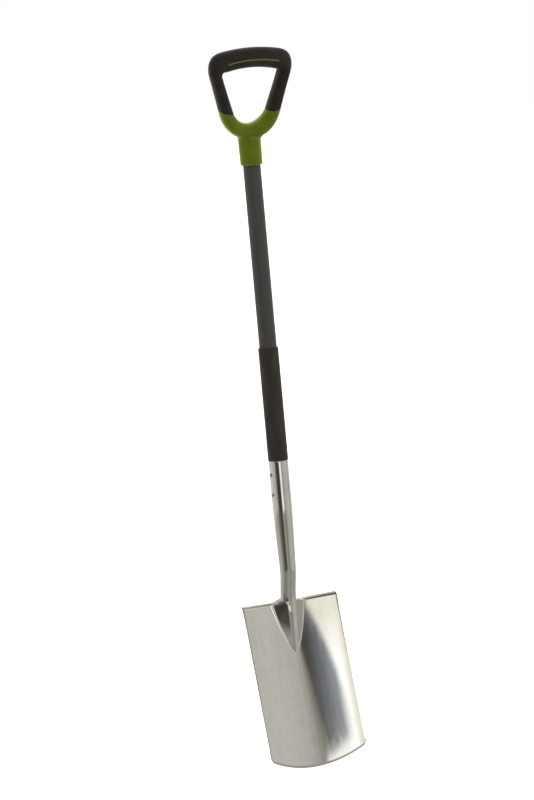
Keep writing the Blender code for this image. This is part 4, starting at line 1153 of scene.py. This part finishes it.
def add_softbox(tree, azimuth, elevation, band):
    """The band with the dark gap, and a white softbox, a white table and haze that stand in it.

    The softbox ends 6.3 degrees right of the front, and further right by the square of the height
    above 11.8. The table shows below a height of 11.3 and ends at 23 degrees. Beyond them haze
    rises from below, and the gap's right end is softened. A height here is the elevation and, right
    of the front, the square of the azimuth over 650 as well, so that level edges sink to the right.
    """
    right = add_node(tree, "Math", {0: azimuth, 1: 0.0}, operation="MAXIMUM")
    square = add_node(tree, "Math", {0: right, 1: right}, operation="MULTIPLY")
    height = add_node(tree, "Math", {0: square, 1: 1.0 / 650.0, 2: elevation}, operation="MULTIPLY_ADD")
    tilted = add_node(tree, "Math", {0: azimuth, 1: 0.025, 2: height}, operation="MULTIPLY_ADD")
    ranges = {}
    for name, source, start, end, first, last, shape in (
        ("haze", height, 12.9, 10.8, 0.0, 0.3, "LINEAR"),
        ("border_start", height, 12.8, 10.8, 25.5, 18.3, "LINEAR"),
        ("blur", height, 12.4, 11.5, 1.7, 3.7, "LINEAR"),
        ("cream_above", height, 12.7, 13.3, 0.0, 1.0, "LINEAR"),
        ("cream_left", azimuth, 3.4, 0.6, 0.0, 1.0, "LINEAR"),
        ("in_gap", azimuth, -34.0, -30.0, 0.0, 1.0, "SMOOTHSTEP"),
        ("table_top", tilted, 11.35, 11.29, 0.0, 1.0, "SMOOTHSTEP"),
        ("table_end", azimuth, 25.0, 21.0, 0.0, 1.0, "SMOOTHSTEP"),
    ):
        ranges[name] = add_node(tree, "MapRange", {
            "Value": source, "From Min": start, "From Max": end, "To Min": first, "To Max": last,
        }, interpolation_type=shape)

    border = add_node(tree, "MapRange", {
        "Value": azimuth, "From Min": ranges["border_start"], "From Max": 28.4,
    })
    far_side = add_node(tree, "Math", {0: azimuth, 1: 29.8}, operation="GREATER_THAN")
    hazy = band
    for mask, layer in (
        (ranges["haze"], linear("FFFBF4", 0.35 / STUDIO_RANGE)),
        (border, linear("FFFCF4", 0.51 / STUDIO_RANGE)),
        (far_side, band),
    ):
        hazy = add_node(tree, "Mix", {0: mask, 6: hazy, 7: layer}, data_type="RGBA").outputs[2]

    above = add_node(tree, "Math", {0: height, 1: 11.8}, operation="SUBTRACT")
    above = add_node(tree, "Math", {0: above, 1: 0.0}, operation="MAXIMUM")
    above = add_node(tree, "Math", {0: above, 1: above}, operation="MULTIPLY")
    edge = add_node(tree, "Math", {0: above, 1: 4.4, 2: 6.3}, operation="MULTIPLY_ADD")
    beyond = add_node(tree, "Math", {0: azimuth, 1: edge}, operation="SUBTRACT")
    beyond = add_node(tree, "Math", {0: beyond, 1: ranges["blur"]}, operation="DIVIDE")
    softbox = add_node(tree, "MapRange", {
        "Value": beyond, "From Min": 1.0, "From Max": -1.0,
    }, interpolation_type="SMOOTHSTEP")
    table = add_node(tree, "Math", {0: ranges["table_top"], 1: ranges["table_end"]}, operation="MULTIPLY")
    white = add_node(tree, "Math", {0: softbox, 1: table}, operation="MAXIMUM")
    white = add_node(tree, "Math", {0: white, 1: ranges["in_gap"]}, operation="MULTIPLY")
    cream = add_node(tree, "Math", {0: ranges["cream_above"], 1: ranges["cream_left"]}, operation="MAXIMUM")
    panel = add_node(tree, "Mix", {
        0: cream, 6: linear("FAFCFF", 1.6 / STUDIO_RANGE), 7: linear(CREAM, 1.17 / STUDIO_RANGE),
    }, data_type="RGBA").outputs[2]
    return add_node(tree, "Mix", {0: white, 6: hazy, 7: panel}, data_type="RGBA").outputs[2]


def add_lamp(name, place, aim, size, power):
    """A square softbox that points from its place at what it lights."""
    lamp_data = bpy.data.lights.new(name, "AREA")
    lamp_data.size = size
    lamp_data.energy = power
    lamp = add_object(name, lamp_data)
    lamp.location = place
    lamp.rotation_euler = (Vector(aim) - Vector(place)).to_track_quat("-Z", "Y").to_euler()
    lamp.visible_glossy = False


add_floor()
add_studio()
add_lamp("overhead_softbox", (0.4, -0.6, 2.4), (0.0, 0.0, -0.6), 2.0, 28.0)
bpy.context.scene.view_settings.view_transform = "Standard"
